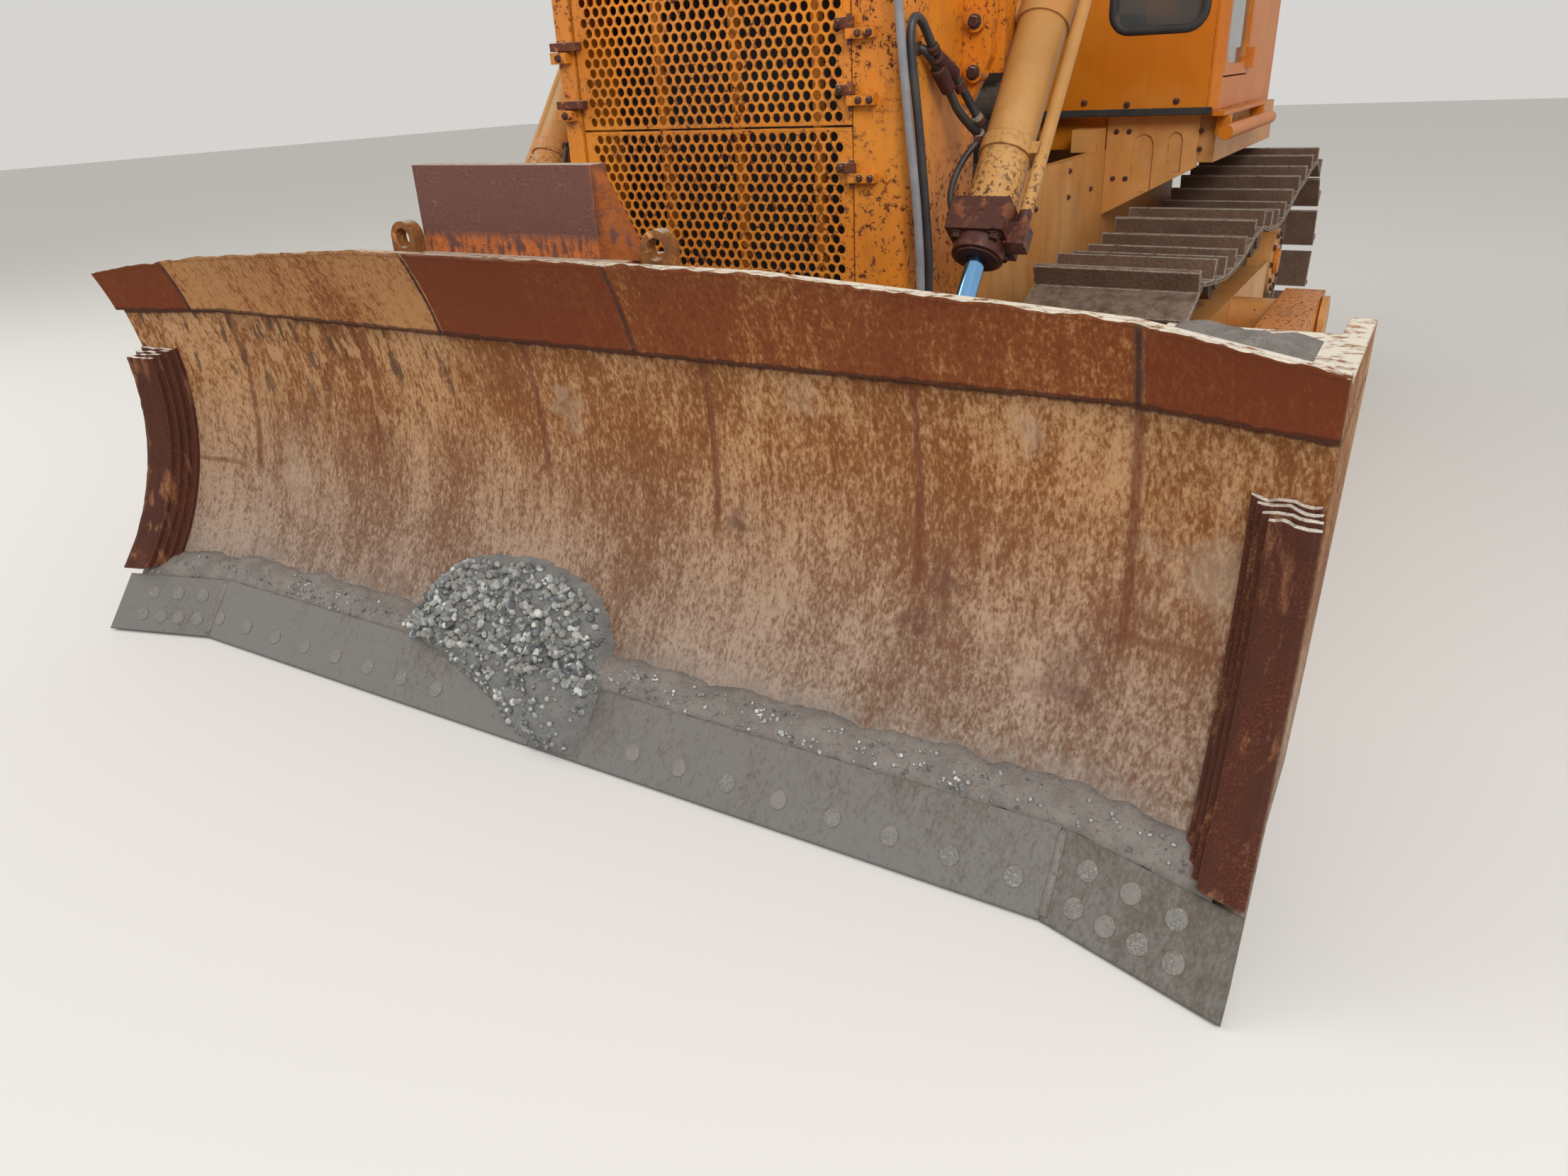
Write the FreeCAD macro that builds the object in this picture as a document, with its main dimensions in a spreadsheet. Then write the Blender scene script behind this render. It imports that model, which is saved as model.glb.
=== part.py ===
import FreeCAD, Part
import math
import os
import re
import Sketcher

# A crawler bulldozer with a straight blade and a closed cab.  Millimetres, +Z up, the blade faces -Y,
# the machine's own left side is +X.  The origin is on the ground under the middle of the machine.
# Lengths along the machine are "stations", counted back from the cutting edge at edge_y.

sizes = {
    "edge_y": -3176.5,
    # tracks
    "gauge_half": 1067, "shoe_width": 610, "shoe_count": 39, "shoe_thick": 17, "shoe_under": 57,
    "lug_height": 150, "lug_thick": 26, "link_in": 50, "link_out_x": 125, "link_in_x": 65,
    "idler_at": 2348, "idler_z": 562, "idler_r": 412, "idler_width": 110, "idler_drop": 18,
    "sprocket_at": 5366, "sprocket_z": 641.2, "sprocket_r": 491.2, "sprocket_teeth": 27, "bush_r": 30,
    "carrier_one": 3547, "carrier_two": 4690, "carrier_pin_one": 1021, "carrier_pin_two": 1040,
    "carrier_r": 95, "carrier_drop": 38, "sag_front": 82, "sag_middle": 92, "sag_rear": 18,
    "roller_r": 116, "roller_first": 2850, "roller_pitch": 328, "roller_width": 230, "seat_gap": 0.3,
    # track frames
    "frame_wall_x": 150, "frame_wall": 22, "frame_low_z": 285, "frame_top_z": 700,
    "frame_front": 2790, "frame_back": 4980,
    # blade
    "blade_half": 1579, "tip_half": 1997, "tip_forward": 124,
    "board_r": 1029, "board_centre_z": 858, "board_low_y": 205, "board_low_z": 204,
    "board_top_z": 1372, "board_thick": 30, "joint_top_z": 1313, "tip_top_z": 1262, "crown_half": 700,
    "shelf_low_z": 1180, "shelf_top_z": 1235, "shelf_back": 700, "beam_back": 600,
    "end_plate_thick": 55, "end_plate_back": 880,
    "edge_top_y": 138, "edge_top_z": 181, "edge_thick_y": 30, "edge_thick_z": 24, "edge_foot_y": 49,
    "edge_floor": 8, "edge_gap": 4,
    "strip_low_z": 1127, "strip_thick": 24,
    "side_strip_wide": 147, "side_strip_thick": 78, "side_strip_low": 172, "side_strip_top": 985,
    "top_box_left": -490, "top_box_wide": 655, "top_box_low_z": 1366, "top_box_tall": 236,
    "top_box_front": 395, "top_box_deep": 65,
    "lift_eye_z": 1405, "lift_eye_r": 28, "lift_eye_wide": 95, "lift_eye_thick": 40,
    "arm_x": 1545, "arm_wide": 180, "arm_tall": 240, "arm_z": 600, "arm_back": 4060,
    "pivot_at": 3900, "pivot_r": 95,
    # lift cylinders
    "lift_x": 900, "trunnion_at": 1769, "trunnion_z": 1929, "rod_eye_at": 740, "rod_eye_z": 650,
    "barrel_r": 76, "barrel_down": 845, "barrel_up": 300, "rod_r": 30, "eye_r": 68, "piston_at": 470,
    "head_long": 105, "side_tube_r": 20, "side_tube_out": 112, "trunnion_r": 42, "band_at": 465,
    # guard and grille, the guard is wider on the side that carries the doors' hinges
    "guard_half": 594, "guard_left_half": 692, "guard_corner": 56,
    "guard_front": 1189, "guard_back": 1720, "guard_wall": 40,
    "guard_low_z": 760, "guard_top_z": 2180,
    "door_half": 513, "door_thick": 28, "lower_door_z": 960, "door_split_z": 1642, "door_gap": 6,
    "upper_door_top": 2090, "hinge_high": 28, "hinge_out": 14.6, "knuckle_r": 14,
    # frame and hood
    "rail_low_z": 700, "rail_top_z": 1185, "side_plate_top": 1390, "rail_thick": 45,
    "rail_back": 5300, "hood_top_z": 2150, "hood_low_z": 1990, "hood_half": 470,
    # cab and fenders
    "fender_front": 3720, "fender_back": 5420, "fender_half": 1090, "fender_top_z": 1535,
    "fender_low_in": 1200, "fender_low_out": 1310,
    "cab_half": 1100, "cab_front": 3640, "cab_back": 5090, "cab_floor_z": 1560, "cab_top_z": 3240,
    "cab_wall": 45, "cab_corner": 34, "roof_lip": 40, "roof_thick": 90,
    "window_round": 85, "window_top_z": 3015, "pane_thick": 8, "pane_gap": 0.5,
    "door_open_front": 3690, "door_open_back": 4300, "door_low_z": 1690, "door_top_z": 3090,
    "door_clear": 6, "door_rim": 44,
}

doc = FreeCAD.newDocument("Bulldozer")
sheet = doc.addObject("Spreadsheet::Sheet", "Values")
for row, (word, value) in enumerate(sizes.items(), 1):
    sheet.set("A%d" % row, word)
    sheet.set("B%d" % row, str(value))
    sheet.setAlias("B%d" % row, word)
doc.recompute()

nodes = []
directions = {"x": FreeCAD.Vector(1, 0, 0), "y": FreeCAD.Vector(0, 1, 0), "z": FreeCAD.Vector(0, 0, 1)}

# the board's arc runs up from its lower edge; the wings lean forward from its ends
board_centre = "board_low_y - sqrt(board_r^2 - (board_centre_z - board_low_z)^2)"
wing_long = "sqrt((tip_half - blade_half)^2 + tip_forward^2)"
beam_half = "arm_x + arm_wide / 2 + 4"


def linked(text):
    return re.sub(r"[a-z][a-z_]*[a-z]", lambda word: "Values." * (word.group() in sizes) + word.group(),
                  str(text))


def bind(item, path, text):
    item.setExpression(path, linked(text))


def at(text):
    return "edge_y + (%s)" % text


def arc_at(height, radius):
    return "%s + sqrt((%s)^2 - (%s - board_centre_z)^2)" % (board_centre, radius, height)


def board_at(height):
    return arc_at(height, "board_r + board_thick / 2")


def back_at(height):
    return arc_at(height, "board_r + board_thick")


def place(item, corner):
    for axis, text in zip("xyz", corner):
        bind(item, "Placement.Base." + axis, text)


def box(name, corner, extent):
    item = doc.addObject("Part::Box", name)
    for prop, text in zip(("Length", "Width", "Height"), extent):
        bind(item, prop, text)
    place(item, corner)
    return item


def rod(name, start, along, radius, length):
    item = doc.addObject("Part::Cylinder", name)
    bind(item, "Radius", radius)
    bind(item, "Height", length)
    item.Placement = FreeCAD.Placement(FreeCAD.Vector(), FreeCAD.Rotation(directions["z"], directions[along]))
    place(item, start)
    return item


# a round piece that is hidden between plates has few sides
def wheel(name, start, along, radius, length, sides=20):
    item = doc.addObject("Part::Prism", name)
    item.Polygon = sides
    bind(item, "Circumradius", radius)
    bind(item, "Height", length)
    item.Placement = FreeCAD.Placement(FreeCAD.Vector(), FreeCAD.Rotation(directions["z"], directions[along]))
    place(item, start)
    return item


def outline(sketch, points):
    count = len(points)
    turns = [2 * math.pi * i / count for i in range(count)]
    ring = [FreeCAD.Vector(500 * math.cos(turn), 500 * math.sin(turn), 0) for turn in turns]
    for i in range(count):
        sketch.addGeometry(Part.LineSegment(ring[i], ring[(i + 1) % count]))
    for i in range(count):
        sketch.addConstraint(Sketcher.Constraint("Coincident", i, 2, (i + 1) % count, 1))
    for i, (across, up) in enumerate(points):
        for kind, text, now in (("DistanceX", across, ring[i].x), ("DistanceY", up, ring[i].y)):
            sketch.addConstraint(Sketcher.Constraint(kind, -1, 1, i, 1, now))
            label = "%s%d" % (kind[-1], i)
            sketch.renameConstraint(sketch.ConstraintCount - 1, label)
            bind(sketch, "Constraints." + label, text)


def prism(name, plane, points, start, depth):
    body = doc.addObject("PartDesign::Body", name)
    sketch = body.newObject("Sketcher::SketchObject", name + "_outline")
    role = {"x": "YZ_Plane", "y": "XZ_Plane", "z": "XY_Plane"}[plane]
    sketch.AttachmentSupport = (next(f for f in body.Origin.OriginFeatures if f.Role == role), "")
    sketch.MapMode = "FlatFace"
    low = "-(%s) - (%s)" % (start, depth) if plane == "y" else start
    bind(sketch, "AttachmentOffset.Base.z", low)
    outline(sketch, points)
    pad = body.newObject("PartDesign::Pad", name + "_pad")
    pad.Profile = sketch
    bind(pad, "Length", depth)
    body.Tip = pad
    return body


def mirrored(item):
    other = doc.addObject("Part::Mirroring", item.Name + "_other")
    other.Source = item
    other.Normal = directions["x"]
    return other


def joined(name, items):
    whole = doc.addObject("Part::MultiFuse", name)
    whole.Shapes = items
    whole.Refine = True
    return whole


def gathered(name, items):
    group = doc.addObject("Part::Compound", name)
    group.Links = items
    return group


def less(name, base, tool):
    cut = doc.addObject("Part::Cut", name)
    cut.Base = base
    cut.Tool = tool
    cut.Refine = True
    return cut


def node(item, label):
    item.Label = label
    nodes.append(item)
    return item


def pair(item, label):
    return node(gathered(label, [item, mirrored(item)]), label)


# a standing sketch across the machine, moved along it by shift
def standing(name, across, shift):
    sketch = doc.addObject("Sketcher::SketchObject", name)
    turn = FreeCAD.Rotation(directions["y"], directions["z"], directions["x"], "XYZ")
    sketch.Placement = FreeCAD.Placement(FreeCAD.Vector(), turn)
    place(sketch, (across, at(shift), 0))
    return sketch


def ring_sketch(name, across, shift, front_r, back_r, low_z, top_z):
    sketch = standing(name, across, shift)
    low_drop = sizes["board_centre_z"] - sizes["board_low_z"]
    centre = FreeCAD.Vector(sizes["board_low_y"] - math.sqrt(sizes["board_r"] ** 2 - low_drop ** 2),
                            sizes["board_centre_z"], 0)
    rough = {"front": sizes["board_r"] - 20, "back": sizes["board_r"] + 20}
    for radius in (rough["front"], rough["back"]):
        circle = Part.Circle(centre, FreeCAD.Vector(0, 0, 1), radius)
        sketch.addGeometry(Part.ArcOfCircle(circle, -0.6, 0.4))
    ends = [centre + FreeCAD.Vector(radius * math.cos(turn), radius * math.sin(turn), 0)
            for radius in rough.values() for turn in (-0.6, 0.4)]
    sketch.addGeometry(Part.LineSegment(ends[1], ends[3]))
    sketch.addGeometry(Part.LineSegment(ends[2], ends[0]))
    for first, point, second, other in ((0, 2, 2, 1), (2, 2, 1, 2), (1, 1, 3, 1), (3, 2, 0, 1), (0, 3, 1, 3)):
        sketch.addConstraint(Sketcher.Constraint("Coincident", first, point, second, other))
    sketch.addConstraint(Sketcher.Constraint("Horizontal", 2))
    sketch.addConstraint(Sketcher.Constraint("Horizontal", 3))
    measured = (
        ("centre_across", Sketcher.Constraint("DistanceX", -1, 1, 0, 3, centre.x), board_centre),
        ("centre_up", Sketcher.Constraint("DistanceY", -1, 1, 0, 3, centre.y), "board_centre_z"),
        ("front", Sketcher.Constraint("Radius", 0, rough["front"]), front_r),
        ("back", Sketcher.Constraint("Radius", 1, rough["back"]), back_r),
        ("low", Sketcher.Constraint("DistanceY", -1, 1, 0, 1, ends[0].y), low_z),
        ("top", Sketcher.Constraint("DistanceY", -1, 1, 0, 2, ends[1].y), top_z),
    )
    for label, constraint, text in measured:
        sketch.addConstraint(constraint)
        sketch.renameConstraint(sketch.ConstraintCount - 1, label)
        bind(sketch, "Constraints." + label, text)
    return sketch


def loft(name, sections):
    solid = doc.addObject("Part::Loft", name)
    solid.Sections = sections
    solid.Solid = True
    solid.Ruled = True
    return solid


# the same outline at the wing's root and at its tip, with one ruled solid between them
def wing_solid(name, root_points, tip_points):
    sections = []
    for word, across, shift, points in (("root", "blade_half", 0, root_points),
                                        ("tip", "tip_half", "-tip_forward", tip_points)):
        sketch = standing("%s_%s" % (name, word), across, shift)
        outline(sketch, points)
        sections.append(sketch)
    return loft(name, sections)


# a ring section drawn out along the board's middle or along its wing
def drawn_out(name, sketch, length, on_wing=False):
    solid = doc.addObject("Part::Extrusion", name)
    solid.Base = sketch
    solid.DirMode = "Custom"
    solid.Dir = directions["x"]
    if on_wing:
        bind(solid, "Dir.x", "(tip_half - blade_half) / (%s)" % wing_long)
        bind(solid, "Dir.y", "-tip_forward / (%s)" % wing_long)
    bind(solid, "LengthFwd", length)
    solid.Solid = True
    return solid


def curved_plate(name, front_r, back_r, low_z):
    middle = drawn_out(name + "_middle", ring_sketch(name + "_ring", "-blade_half", 0, front_r, back_r, low_z,
                                                     "board_top_z"), "2 * blade_half")
    wing = drawn_out(name + "_wing", ring_sketch(name + "_wing_ring", "blade_half", 0, front_r, back_r, low_z,
                                                 "board_top_z"), wing_long, True)
    return less(name + "_crowned", joined(name + "_full", [middle, wing, mirrored(wing)]), crown)


# an upright opening or pane with its corners rounded off in two steps
def window(name, plane, sides, heights, start, depth, inset="0"):
    low, top = "(%s + %s)" % (heights[0], inset), "(%s - %s)" % (heights[1], inset)
    left, right = "(%s + %s)" % (sides[0], inset), "(%s - %s)" % (sides[1], inset)
    points = []
    for across, sign_across, up, sign_up in ((left, "+", low, "+"), (right, "-", low, "+"),
                                             (right, "-", top, "-"), (left, "+", top, "-")):
        beside, above = "%s %s " % (across, sign_across), "%s %s " % (up, sign_up)
        corner = [(across, above + "window_round"),
                  (beside + "0.29 * window_round", above + "0.29 * window_round"),
                  (beside + "window_round", up)]
        points += corner if (sign_across == "+") == (sign_up == "+") else corner[::-1]
    if plane == "x":
        points = [(at(across), up) for across, up in points]
    return prism(name, plane, points, start, depth)


# a hose follows straight runs joined by tangent arcs; its points are stations
def hose(name, radius, bend, points):
    spots = [FreeCAD.Vector(x, sizes["edge_y"] + y, z) for x, y, z in points]
    edges, start = [], spots[0]
    for before, corner, after in zip(spots, spots[1:], spots[2:]):
        coming = (corner - before).normalize()
        leaving = (after - corner).normalize()
        turn = coming.getAngle(leaving)
        reach = bend * math.tan(turn / 2)
        first, last = corner - coming * reach, corner + leaving * reach
        inward = (leaving - coming).normalize()
        middle = corner + inward * (bend / math.cos(turn / 2) - bend)
        edges += [Part.makeLine(start, first), Part.Arc(first, middle, last).toShape()]
        start = last
    edges.append(Part.makeLine(start, spots[-1]))
    ring = Part.Wire(Part.makeCircle(radius, spots[0], spots[1] - spots[0]))
    item = doc.addObject("Part::Feature", name)
    item.Shape = Part.Wire(edges).makePipeShell([ring], True, True)
    return item


# moldboard: a curved plate with two wings, a lower lip behind the cutting edges and the back's ribs
crown_line = [("tip_half + 5", "tip_top_z"), ("tip_half", "tip_top_z"), ("blade_half", "joint_top_z"),
              ("crown_half", "board_top_z")]
crown_sky = [("tip_half + 5", "board_top_z + 100"), ("-tip_half - 5", "board_top_z + 100")]
crown = prism("crown_waste", "y", [("-(%s)" % across, up) for across, up in crown_line] + crown_line[::-1]
              + crown_sky, at(0), "board_r")
lip_points = [("board_low_y + 1.5", "board_low_z + 1"), ("edge_foot_y + 7.5", "edge_floor + 8"),
              ("edge_foot_y + 46", "edge_floor + 8"), ("board_low_y + 42", "board_low_z + 1")]
lip = prism("board_lip", "x", [(at(u), v) for u, v in lip_points], "-blade_half", "2 * blade_half")
wing_lip = wing_solid("wing_lip", lip_points, lip_points)
shelf_front = [(board_at("shelf_top_z"), "shelf_top_z"), (board_at("shelf_low_z"), "shelf_low_z")]
shelf_root = [("shelf_back", "shelf_low_z"), ("shelf_back", "shelf_top_z")]
shelf_tip = [(back + " + tip_forward", height) for back, height in shelf_root]
wing_shelf = wing_solid("wing_shelf", shelf_root + shelf_front, shelf_tip + shelf_front)
plate_front = [("%s - tip_forward + 14" % board_at(height), height)
               for height in ("shelf_top_z", "950", "650", "470", "300")]
end_plate = prism("end_plate", "x", [(at(u), v) for u, v in plate_front] + [
    (at("450"), "300"), (at("560"), "420"), (at("end_plate_back"), "shelf_top_z - 150"),
    (at("end_plate_back"), "shelf_top_z"),
], "tip_half - end_plate_thick", "end_plate_thick")
beam_rows = (("top", "shelf_low_z", "shelf_top_z", "beam_back"), ("middle", "640", "860", "beam_back"),
             ("low", "board_low_z + 1", "380", "beam_back - 40"))
beams = [prism(word + "_beam", "x", [(at(board_at(low)), low), (at(back), low), (at(back), high),
                                     (at(board_at(high)), high)], "-(%s)" % beam_half, "2 * (%s)" % beam_half)
         for word, low, high, back in beam_rows]
ribs = [prism("rib_%d" % i, "x", [(at(board_at("300")), "300"), (at("beam_back - 40"), "300"),
                                  (at("beam_back"), "700"), (at("beam_back"), "shelf_low_z + 1"),
                                  (at(board_at("(shelf_low_z + 1)")), "shelf_low_z + 1"),
                                  (at(board_at("860")), "860"), (at(board_at("600")), "600")],
              "%s * blade_half - 20" % share, "40")
        for i, share in enumerate((-0.874, -0.621, -0.342, 0, 0.342, 0.621, 0.874))]
brace_pad = box("brace_pad", ("470", at("beam_back - 45"), "arm_z - 160"), ("150", "45", "160"))
one_side = [wing_lip, wing_shelf, end_plate, brace_pad]
board = curved_plate("board", "board_r", "board_r + board_thick", "board_low_z")
moldboard = joined("moldboard_whole", [board, lip] + one_side + [mirrored(item) for item in one_side] + beams + ribs)
# the blade is made in three sections that are butted together where its wings begin
middle_zone = box("middle_zone", ("-blade_half", at(-400), -100), ("2 * blade_half", "2000", "2000"))
middle_section = doc.addObject("Part::Common", "moldboard_middle")
middle_section.Base = moldboard
middle_section.Tool = middle_zone
node(gathered("moldboard_sections", [middle_section, less("moldboard_wings", moldboard, middle_zone)]), "moldboard")

# worn strip welded along the top of the moldboard
node(curved_plate("strip", "board_r - strip_thick", "board_r - seat_gap", "strip_low_z"), "top_wear_strip")

# cutting edges in two long pieces and an end bit on each wing
edge_points = [("0", "edge_floor"), ("edge_top_y", "edge_top_z"),
               ("edge_top_y + edge_thick_y", "edge_top_z - edge_thick_z"), ("edge_foot_y", "edge_floor")]
long_edge = prism("long_edge", "x", [(at(u), v) for u, v in edge_points], "edge_gap / 2",
                  "blade_half - edge_gap")
pair(long_edge, "cutting_edges")
pair(wing_solid("end_bit", edge_points, edge_points), "end_bits")

# stacked strips welded up each side of the blade
strip_share = "side_strip_wide / (tip_half - blade_half)"
side_ring = ring_sketch("side_strip_ring", "tip_half - side_strip_wide",
                        "-tip_forward * (1 - %s)" % strip_share, "board_r - side_strip_thick",
                        "board_r - seat_gap", "side_strip_low + 40", "side_strip_top")
side_strip = drawn_out("side_strip", side_ring, "%s * %s" % (strip_share, wing_long), True)
pair(side_strip, "side_wear_strips")

# box and lifting eyes on the blade's top edge
box_shell = box("top_box_shell", ("top_box_left", at("top_box_front"), "top_box_low_z"),
                ("top_box_wide", "top_box_deep", "top_box_tall"))
gusset = prism("top_box_gusset", "y", [("top_box_left + top_box_wide", "top_box_low_z"),
                                       ("top_box_left + top_box_wide + 130", "top_box_low_z"),
                                       ("top_box_left + top_box_wide", "top_box_low_z + top_box_tall - 11")],
               at("top_box_front + 10"), 40)
foot_low = "top_box_low_z - 60"
foot = box("top_box_foot", ("top_box_left", at(back_at("(%s)" % foot_low) + " + 1"), foot_low),
           ("top_box_wide + 100", "190", "60"))
node(joined("top_box_whole", [box_shell, gusset, foot]), "top_box")
eye_low = "(board_top_z - 41)"
eye_at = back_at(eye_low) + " + 0.8"
eyes = []
for name, across in (("eye_a", "-590"), ("eye_b", "330")):
    middle_x = "%s + lift_eye_wide / 2" % across
    tab = joined(name + "_tab", [
        box(name + "_foot", (across, at(eye_at), eye_low),
            ("lift_eye_wide", "lift_eye_thick", "lift_eye_z - " + eye_low)),
        rod(name + "_round", (middle_x, at(eye_at), "lift_eye_z"), "y", "lift_eye_wide / 2",
            "lift_eye_thick"),
    ])
    hole = rod(name + "_hole", (middle_x, at("300"), "lift_eye_z"), "y", "lift_eye_r", "130")
    eyes.append(less(name, tab, hole))
node(gathered("eyes_all", eyes), "lifting_eyes")

# push arms with their ball ends on the track frames, braces and rod brackets
arm = box("arm_bar", ("arm_x - arm_wide / 2", at("beam_back + seat_gap"), "arm_z - arm_tall / 2"),
          ("arm_wide", "arm_back - beam_back - seat_gap", "arm_tall"))
arm_bore = rod("arm_bore", ("arm_x - arm_wide", at("pivot_at"), "arm_z"), "x", "pivot_r + 0.5",
               "2 * arm_wide")
arm_lug = box("arm_lug", ("arm_x - 60", at("1400"), "arm_z + arm_tall / 2 - 1"), ("120", "260", "111"))
pair(joined("arm_whole", [less("arm_bored", arm, arm_bore), arm_lug]), "push_arms")


def strut(name, across, start, finish, radius):
    run = "(%s) - (%s)" % (finish[0], start[0])
    rise = "(%s) - (%s)" % (finish[1], start[1])
    item = doc.addObject("Part::Cylinder", name)
    bind(item, "Radius", radius)
    bind(item, "Height", "sqrt((%s)^2 + (%s)^2)" % (run, rise))
    item.Placement = FreeCAD.Placement(FreeCAD.Vector(), FreeCAD.Rotation(directions["x"], 10))
    bind(item, "Placement.Rotation.Angle", "atan2(-(%s); %s)" % (run, rise))
    place(item, (across, at(start[0]), start[1]))
    return item


brace_parts = [
    strut("brace_tube", "arm_x", ("1530", "arm_z + 292"), ("735", "shelf_low_z - 72"), "55"),
    box("brace_clevis", ("arm_x - 70", at("beam_back"), "shelf_low_z - 125 - seat_gap"),
        ("140", "170", "125")),
    box("brace_foot", ("arm_x - 50", at("1470"), "arm_z + arm_tall / 2 + 110.3"), ("100", "120", "80")),
]
diagonal = prism("diagonal_brace", "z", [
    ("arm_x - arm_wide / 2 - seat_gap", at("1500")), ("arm_x - arm_wide / 2 - seat_gap", at("1650")),
    ("480", at("700")), ("480", at("beam_back + seat_gap")), ("600", at("beam_back + seat_gap")),
], "arm_z - arm_tall / 2 + 1", "60")
pair(gathered("braces_side", [joined("brace_whole", brace_parts), diagonal]), "blade_braces")

# brackets on the blade's back for the rods' eyes, rounded off so that the raised cylinder clears them
cheek_points = [("beam_back + seat_gap", "rod_eye_z - 60"), ("rod_eye_at - 20", "rod_eye_z - 75"),
                ("rod_eye_at + 45", "rod_eye_z - 30"), ("rod_eye_at + 50", "rod_eye_z + 10"),
                ("rod_eye_at + 20", "rod_eye_z + 46"), ("rod_eye_at - 40", "rod_eye_z + 55"),
                ("beam_back + seat_gap", "rod_eye_z + 110")]
rod_cheeks = []
for i, (start, cap) in enumerate((("lift_x - 95", "lift_x - 107"), ("lift_x + 50", "lift_x + 95"))):
    rod_cheeks.append(joined("rod_cheek_%d" % i, [
        prism("rod_cheek_plate_%d" % i, "x", [(at(u), v) for u, v in cheek_points], start, "45"),
        rod("rod_pin_end_%d" % i, (cap, at("rod_eye_at"), "rod_eye_z"), "x", "38", "12"),
    ]))
pair(gathered("rod_cheeks_side", rod_cheeks), "rod_brackets")

# lift cylinders, standing between the guard's trunnions and the blade's back
lift_run = "(rod_eye_at - trunnion_at)"
lift_rise = "(rod_eye_z - trunnion_z)"
lift_long = "sqrt(%s^2 + %s^2)" % (lift_run, lift_rise)
lift_turn = "atan2(-%s; %s)" % (lift_run, lift_rise)


def along_lift(name, start, length, radius, across="0"):
    item = doc.addObject("Part::Cylinder", name)
    bind(item, "Radius", radius)
    bind(item, "Height", length)
    item.Placement = FreeCAD.Placement(FreeCAD.Vector(), FreeCAD.Rotation(directions["x"], 100))
    bind(item, "Placement.Rotation.Angle", lift_turn)
    place(item, ("lift_x + " + across, at("trunnion_at + %s / %s * (%s)" % (lift_run, lift_long, start)),
                 "trunnion_z + %s / %s * (%s)" % (lift_rise, lift_long, start)))
    return item


def lift_block(name, start, extent, across="0"):
    item = doc.addObject("Part::Box", name)
    for prop, text in zip(("Length", "Width", "Height"), extent):
        bind(item, prop, text)
    item.Placement = FreeCAD.Placement(FreeCAD.Vector(), FreeCAD.Rotation(directions["x"], 100))
    bind(item, "Placement.Rotation.Angle", lift_turn)
    base_y = "trunnion_at + %s / %s * (%s)" % (lift_run, lift_long, start)
    base_z = "trunnion_z + %s / %s * (%s)" % (lift_rise, lift_long, start)
    half = "(%s) / 2" % extent[1]
    place(item, ("lift_x + %s - (%s) / 2" % (across, extent[0]),
                 at("%s - %s * cos(%s)" % (base_y, half, lift_turn)),
                 "%s - %s * sin(%s)" % (base_z, half, lift_turn)))
    return item


head_wide = "2 * barrel_r + 26"
tube_low, tube_top = "barrel_down - 95", "-barrel_up + 60"
barrel_parts = [
    along_lift("barrel_tube", "-barrel_up", "barrel_up + barrel_down - 30", "barrel_r"),
    along_lift("barrel_cap", "-barrel_up - 14", "50", "barrel_r + 10"),
    along_lift("barrel_collar", "-55", "110", "barrel_r + 7"),
    rod("barrel_trunnion", ("lift_x - barrel_r - 80", at("trunnion_at"), "trunnion_z"), "x", "trunnion_r",
        "barrel_r + 80"),
    lift_block("barrel_head", "barrel_down - 150", (head_wide, head_wide, "head_long")),
    along_lift("barrel_gland", "barrel_down - 60", "60", "barrel_r + 2"),
    along_lift("barrel_band", "band_at", "48", "barrel_r + 7"),
    lift_block("barrel_band_lug", "band_at + 4", ("34", "46", "40"), "barrel_r + 12"),
    along_lift("side_tube", tube_top, "%s - (%s)" % (tube_low, tube_top), "side_tube_r", "side_tube_out"),
    lift_block("side_tube_port", "barrel_down - 105", ("64", "62", "70"), "side_tube_out - 4"),
    lift_block("side_tube_saddle", tube_top + " - 20", ("70", "50", "46"), "side_tube_out - 22"),
]
barrel_bore = along_lift("barrel_bore", "-barrel_up + 40", "barrel_up + barrel_down", "rod_r + 12")
barrel = less("barrel_hollow", joined("barrel_solid", barrel_parts), barrel_bore)
rod_bar = along_lift("rod_bar", "piston_at", lift_long + " - piston_at - eye_r + 10", "rod_r")
rod_head = along_lift("rod_piston", "piston_at", "30", "rod_r + 11")
rod_eye = rod("rod_eye", ("lift_x - 42", at("rod_eye_at"), "rod_eye_z"), "x", "eye_r", "84")
rod_hole = rod("rod_hole", ("lift_x - 60", at("rod_eye_at"), "rod_eye_z"), "x", "30", "120")
ram = less("ram_bored", joined("ram_solid", [rod_bar, rod_head, rod_eye]), rod_hole)
node(barrel, "left_lift_barrel")
node(mirrored(barrel), "right_lift_barrel")
node(ram, "left_lift_rod")
node(mirrored(ram), "right_lift_rod")

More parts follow.
